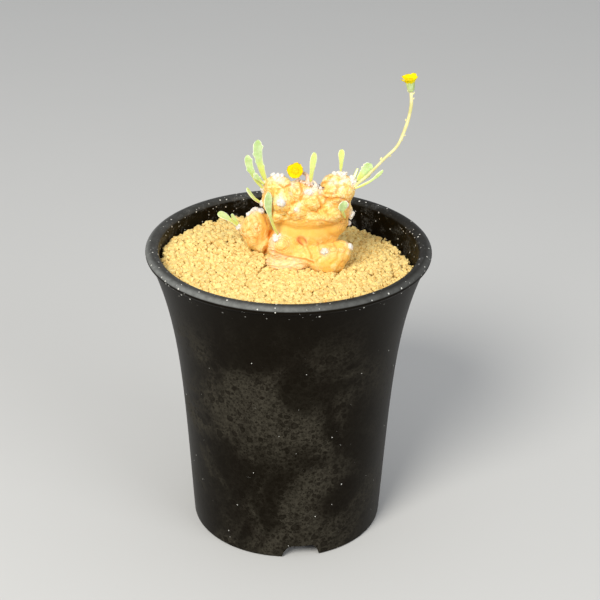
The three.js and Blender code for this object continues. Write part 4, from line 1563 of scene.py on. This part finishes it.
class OTHONNA_OT_stalks(bpy.types.Operator):
    """Builds the flower stalks with their small scales, and the withered stalk"""

    bl_idname = "othonna.stalks"
    bl_label = "Stalks"

    def execute(self, context):
        look = context.scene.othonna_flower
        green = plain_growth("Flower stalk", look.stalk, look.stalk_light, 0.004)
        pink = plain_growth("Pink stalk", look.pink_dark, look.pink_stalk, 0.0012, 0.2, 0.7)
        for node, (points, foot, tip) in STALKS.items():
            piece = stalk(node, points, foot, tip)
            if node == "flower_stalk_tall":
                piece = joined(f"{node}_skin", [piece, *scales_on(smooth_route(points, 101))])
                complete(piece, green, [node], math.radians(60))
            else:
                if node == "withered_stalk":
                    piece = joined(f"{node}_skin", [piece, *flakes("dry", WITHERED, 3, 1.5)])
                complete(piece, pink, [node], math.radians(60))
        brown = plain_growth("Dry husk", look.husk, look.husk, 0.001, 0.0, 0.8, 0.2)
        husks = joined("dry_husks", flakes("husk", HUSKS, 5, 0.8))
        complete(husks, brown, [], math.radians(60))
        return {"FINISHED"}


CUP_LOBES = 7
FLORETS = 34
# Each flower's petals in millimetres: width, how far out the tip lies from the axis, how high it
# rises over the disc's middle, how far out the foot lies and how low it is.
PETALS = {"tall": (1.9, 2.6, 0.75, 1.05, 1.0), "short": (2.6, 2.4, 0.2, 0.5, 0.75)}


def flower_axes(name):
    """A flower's disc middle and its axis, from its CAD cup and disc."""
    cup, disc = (points_of(frame["nodes"][f"{name}_flower_{part}"]) for part in ("cup", "disc"))
    middle = Vector(disc.mean(0))
    return middle, (middle - Vector(cup.mean(0))).normalized()


def upright(name, part):
    """A CAD part of a flower, stood up: its width, lowest and highest point, middle and turn."""
    middle, axis = flower_axes(name)
    turn = turn_to(axis)
    local = (points_of(frame["nodes"][f"{name}_flower_{part}"]) - np.array(middle)) @ turn
    wide = np.linalg.norm(local[:, :2], axis=1).max()
    return wide, local[:, 2].min(), local[:, 2].max(), np.array(middle), turn


def cup_piece(name):
    """A fluted green cup with pointed lobes, over the CAD cup."""
    mouth, low, high, middle, turn = upright(name, "cup")

    def shape(t, turn_share):
        angle = math.tau * turn_share
        flute = math.cos(CUP_LOBES * angle)
        if t < 0.12:
            radius, z = mouth * 0.6 * (t / 0.12) ** 0.5, 0.0
        elif t < 0.8:
            u = (t - 0.12) / 0.68
            radius, z = mouth * (0.6 + 0.4 * u**0.7), u
        else:
            u = (t - 0.8) / 0.2
            radius, z = mouth * (1 - u) * 0.92, 1 - 0.25 * u
        tip = 0.13 * flute * float(smoothstep(0.6, 0.8, t)) * (1 if t <= 0.8 else 0.3)
        radius *= 1 + 0.035 * flute * (0.2 < t < 0.85)
        rise = low + (high - low) * (z + tip)
        return turn @ np.array((radius * math.cos(angle), radius * math.sin(angle), rise)) + middle

    return sleeve(f"{name}_flower_cup_skin", 44, 84, shape)


def ray_piece(node, middle, axis, broad, spread, rise, seat, drop):
    """One ray: a petal that flares from the cup's mouth, with a shallow three-toothed tip."""
    out = middle_of(node) - middle
    flat = (out - axis * out.dot(axis)).normalized()
    side = axis.cross(flat)

    def spine(t):
        ahead = seat + (spread - seat) * t
        up = (rise + drop) * (1 - (1 - t) ** 1.6) - drop
        return middle + flat * ahead + axis * up

    def shape(t, turn):
        angle = math.tau * turn
        x, y = math.cos(angle), math.sin(angle)
        way = (spine(min(1, t + 0.02)) - spine(max(0, t - 0.02))).normalized()
        facing = side.cross(way).normalized()
        if facing.dot(axis) < 0:
            facing = -facing
        notch = 0.07 * math.cos(3 * math.pi * x) * float(smoothstep(0.75, 0.95, t)) * (t < 1)
        wide = broad / 2 * (0.4 + 0.6 * math.sin(math.pi * min(0.5, 0.16 + 0.5 * t)))
        wide *= math.sqrt(max(0.0, 1 - max(0.0, (t - 0.74) / 0.26) ** 2.6))
        thick = 0.14 * MM * (0 if t in (0, 1) else 1) * math.sqrt(max(0.0, 1 - t**6))
        groove = 0.07 * MM * math.cos(2.5 * math.pi * x) * (1 - abs(x)) * t
        curl = facing * (0.22 * MM * x * x + groove)
        point = spine(t) + way * broad * notch + side * wide * x + facing * thick * y + curl
        return np.array(point)

    return sleeve(f"{node}_petal", 18, 24, shape)


def disc_piece(name):
    """A dome of small tubular florets over the CAD disc."""
    wide, low, high, middle, turn = upright(name, "disc")
    dome_height = (high - low) * 0.7
    bpy.ops.object.select_all(action="DESELECT")
    bpy.ops.mesh.primitive_uv_sphere_add(segments=24, ring_count=14, radius=1)
    dome = added("dome")
    points = points_of(dome) * [wide * 0.9, wide * 0.9, dome_height]
    set_points(dome, (points + [0, 0, low]) @ turn.T + middle)
    bpy.ops.object.select_all(action="DESELECT")
    bpy.ops.mesh.primitive_cylinder_add(vertices=7, radius=1, depth=1)
    bud = added("bud")
    in_edit_mode(lambda: bpy.ops.mesh.inset(thickness=0.2, depth=0.18))
    corners = [list(f.vertices) for f in bud.data.polygons]
    shape = (points_of(bud) * [0.19 * MM, 0.19 * MM, 0.34 * MM], corners)
    bpy.data.objects.remove(bud)
    places = []
    for i in range(FLORETS):
        share = math.sqrt((i + 0.5) / FLORETS)
        angle = i * math.radians(137.5)
        out = wide * 0.86 * share
        rise = low + dome_height * math.sqrt(1 - 0.8 * share**2)
        spot = np.array((out * math.cos(angle), out * math.sin(angle), rise))
        lean = Vector((spot[0], spot[1], wide * 1.1)).normalized()
        places.append((0, turn @ turn_to(lean), turn @ spot + middle, 0.0))
    florets = scatter("florets", [shape], places)
    return joined(f"{name}_flower_disc_florets", [dome, florets])


class OTHONNA_OT_flowers(bpy.types.Operator):
    """Builds the daisies: fluted cup, rays with toothed tips and a dome of florets"""

    bl_idname = "othonna.flowers"
    bl_label = "Flowers"

    def execute(self, context):
        look = context.scene.othonna_flower
        cup = plain_growth("Flower cup", look.cup, look.cup_light, 0.0015)
        ray = plain_growth("Yellow ray", look.ray_dark, look.ray, 0.0012, 0.0, 0.7, 0.08)
        disc = plain_growth("Orange florets", look.disc, look.disc_light, 0.0005, 0.0, 0.7, 0.08)
        # The tall flower's rays are a lighter copy of the yellow ray: painted light against the shade
        # on its petals.
        tall_ray_lightened = plain_growth("Lemon ray with painted light", look.ray, look.tall_ray_lightened, 0.0012, 0.0, 0.7, 0.08)
        for name, petal in (("tall", tall_ray_lightened), ("short", ray)):
            broad, spread, rise, seat, drop = PETALS[name]
            middle, axis = flower_axes(name)
            complete(cup_piece(name), cup, [f"{name}_flower_cup"])
            complete(disc_piece(name), disc, [f"{name}_flower_disc"])
            for number, node in enumerate(nodes_named(f"{name}_flower_ray_")):
                rng = random.Random(number + len(name))
                piece = ray_piece(
                    node,
                    middle + axis * 0.12 * MM * (number % 2),
                    axis,
                    broad * rng.uniform(0.9, 1.12) * MM,
                    spread * rng.uniform(0.9, 1.08) * MM,
                    rise * rng.uniform(0.6, 1.3) * MM,
                    seat * MM,
                    drop * MM,
                )
                complete(piece, petal, [node], math.radians(60))
        return {"FINISHED"}


# ---------------------------------------------------------------- stage

WARM, COOL, SKY = (1.0, 0.97, 0.92), (0.97, 0.98, 1.0), (0.93, 0.95, 1.0)
SENSOR = 36


def area_light(name, place, aim, size, watts, colour):
    data = bpy.data.lights.new(name, "AREA")
    data.shape = "DISK"
    data.size = size
    data.energy = watts
    data.color = colour
    lamp = bpy.data.objects.new(name, data)
    bpy.context.scene.collection.objects.link(lamp)
    lamp.location = place
    lamp.rotation_euler = (Vector(aim) - Vector(place)).to_track_quat("-Z", "Y").to_euler()
    return lamp


class OTHONNA_OT_stage(bpy.types.Operator):
    """Sets the camera, the soft light and a pale floor"""

    bl_idname = "othonna.stage"
    bl_label = "Stage"

    def execute(self, context):
        look = context.scene.othonna_stage
        bpy.ops.object.select_all(action="DESELECT")
        bpy.ops.mesh.primitive_plane_add(size=6)
        floor = added("floor")
        floor.data.materials.append(floor_material(look))
        camera = bpy.data.objects.new("camera", bpy.data.cameras.new("camera"))
        context.scene.collection.objects.link(camera)
        camera.data.lens = look.lens
        camera.data.sensor_width = SENSOR
        camera.data.clip_start = 0.01
        camera.matrix_world = (
            Matrix.Translation(look.eye)
            @ Matrix.Rotation(math.radians(look.pan), 4, "Z")
            @ Matrix.Rotation(math.radians(90 - look.tilt), 4, "X")
            @ Matrix.Rotation(math.radians(look.roll), 4, "Z")
        )
        context.scene.camera = camera
        area_light("key", (-0.4, -0.75, 0.85), (0, 0, 0.1), 0.5, look.key, WARM)
        area_light("fill", (0.75, -0.7, 0.45), (0, 0, 0.08), 0.7, look.fill, COOL)
        world = bpy.data.worlds.new("Even light")
        world.use_nodes = True
        background = world.node_tree.nodes["Background"]
        background.inputs["Color"].default_value = (*SKY, 1)
        background.inputs["Strength"].default_value = look.sky
        context.scene.world = world
        context.scene.view_settings.view_transform = "Standard"
        return {"FINISHED"}


# ---------------------------------------------------------------- add-on

SETTINGS = {
    "othonna_pot": PotSettings,
    "othonna_grit": GritSettings,
    "othonna_caudex": CaudexSettings,
    "othonna_leaf": LeafSettings,
    "othonna_flower": FlowerSettings,
    "othonna_stage": StageSettings,
}
OPERATORS = [
    OTHONNA_OT_pot,
    OTHONNA_OT_caudex,
    OTHONNA_OT_grit,
    OTHONNA_OT_wool,
    OTHONNA_OT_leaves,
    OTHONNA_OT_stalks,
    OTHONNA_OT_flowers,
    OTHONNA_OT_stage,
]


class OTHONNA_PT_panel(bpy.types.Panel):
    """Buttons that build each piece"""

    bl_idname = "OTHONNA_PT_panel"
    bl_label = "Potted othonna"
    bl_space_type = "VIEW_3D"
    bl_region_type = "UI"
    bl_category = "Othonna"

    def draw(self, context):
        for operator in OPERATORS:
            self.layout.operator(operator.bl_idname)
        for key, settings in SETTINGS.items():
            box = self.layout.box()
            box.label(text=settings.__doc__)
            for name in settings.__annotations__:
                box.prop(getattr(context.scene, key), name)


def register():
    for settings in SETTINGS.values():
        bpy.utils.register_class(settings)
    for key, settings in SETTINGS.items():
        setattr(bpy.types.Scene, key, PointerProperty(type=settings))
    for operator in OPERATORS:
        bpy.utils.register_class(operator)
    bpy.utils.register_class(OTHONNA_PT_panel)


def unregister():
    bpy.utils.unregister_class(OTHONNA_PT_panel)
    for operator in reversed(OPERATORS):
        bpy.utils.unregister_class(operator)
    for key, settings in reversed(SETTINGS.items()):
        delattr(bpy.types.Scene, key)
        bpy.utils.unregister_class(settings)


def main():
    register()
    for operator in OPERATORS:
        getattr(bpy.ops.othonna, operator.bl_idname.split(".")[1])()


if __name__ == "__main__":
    main()
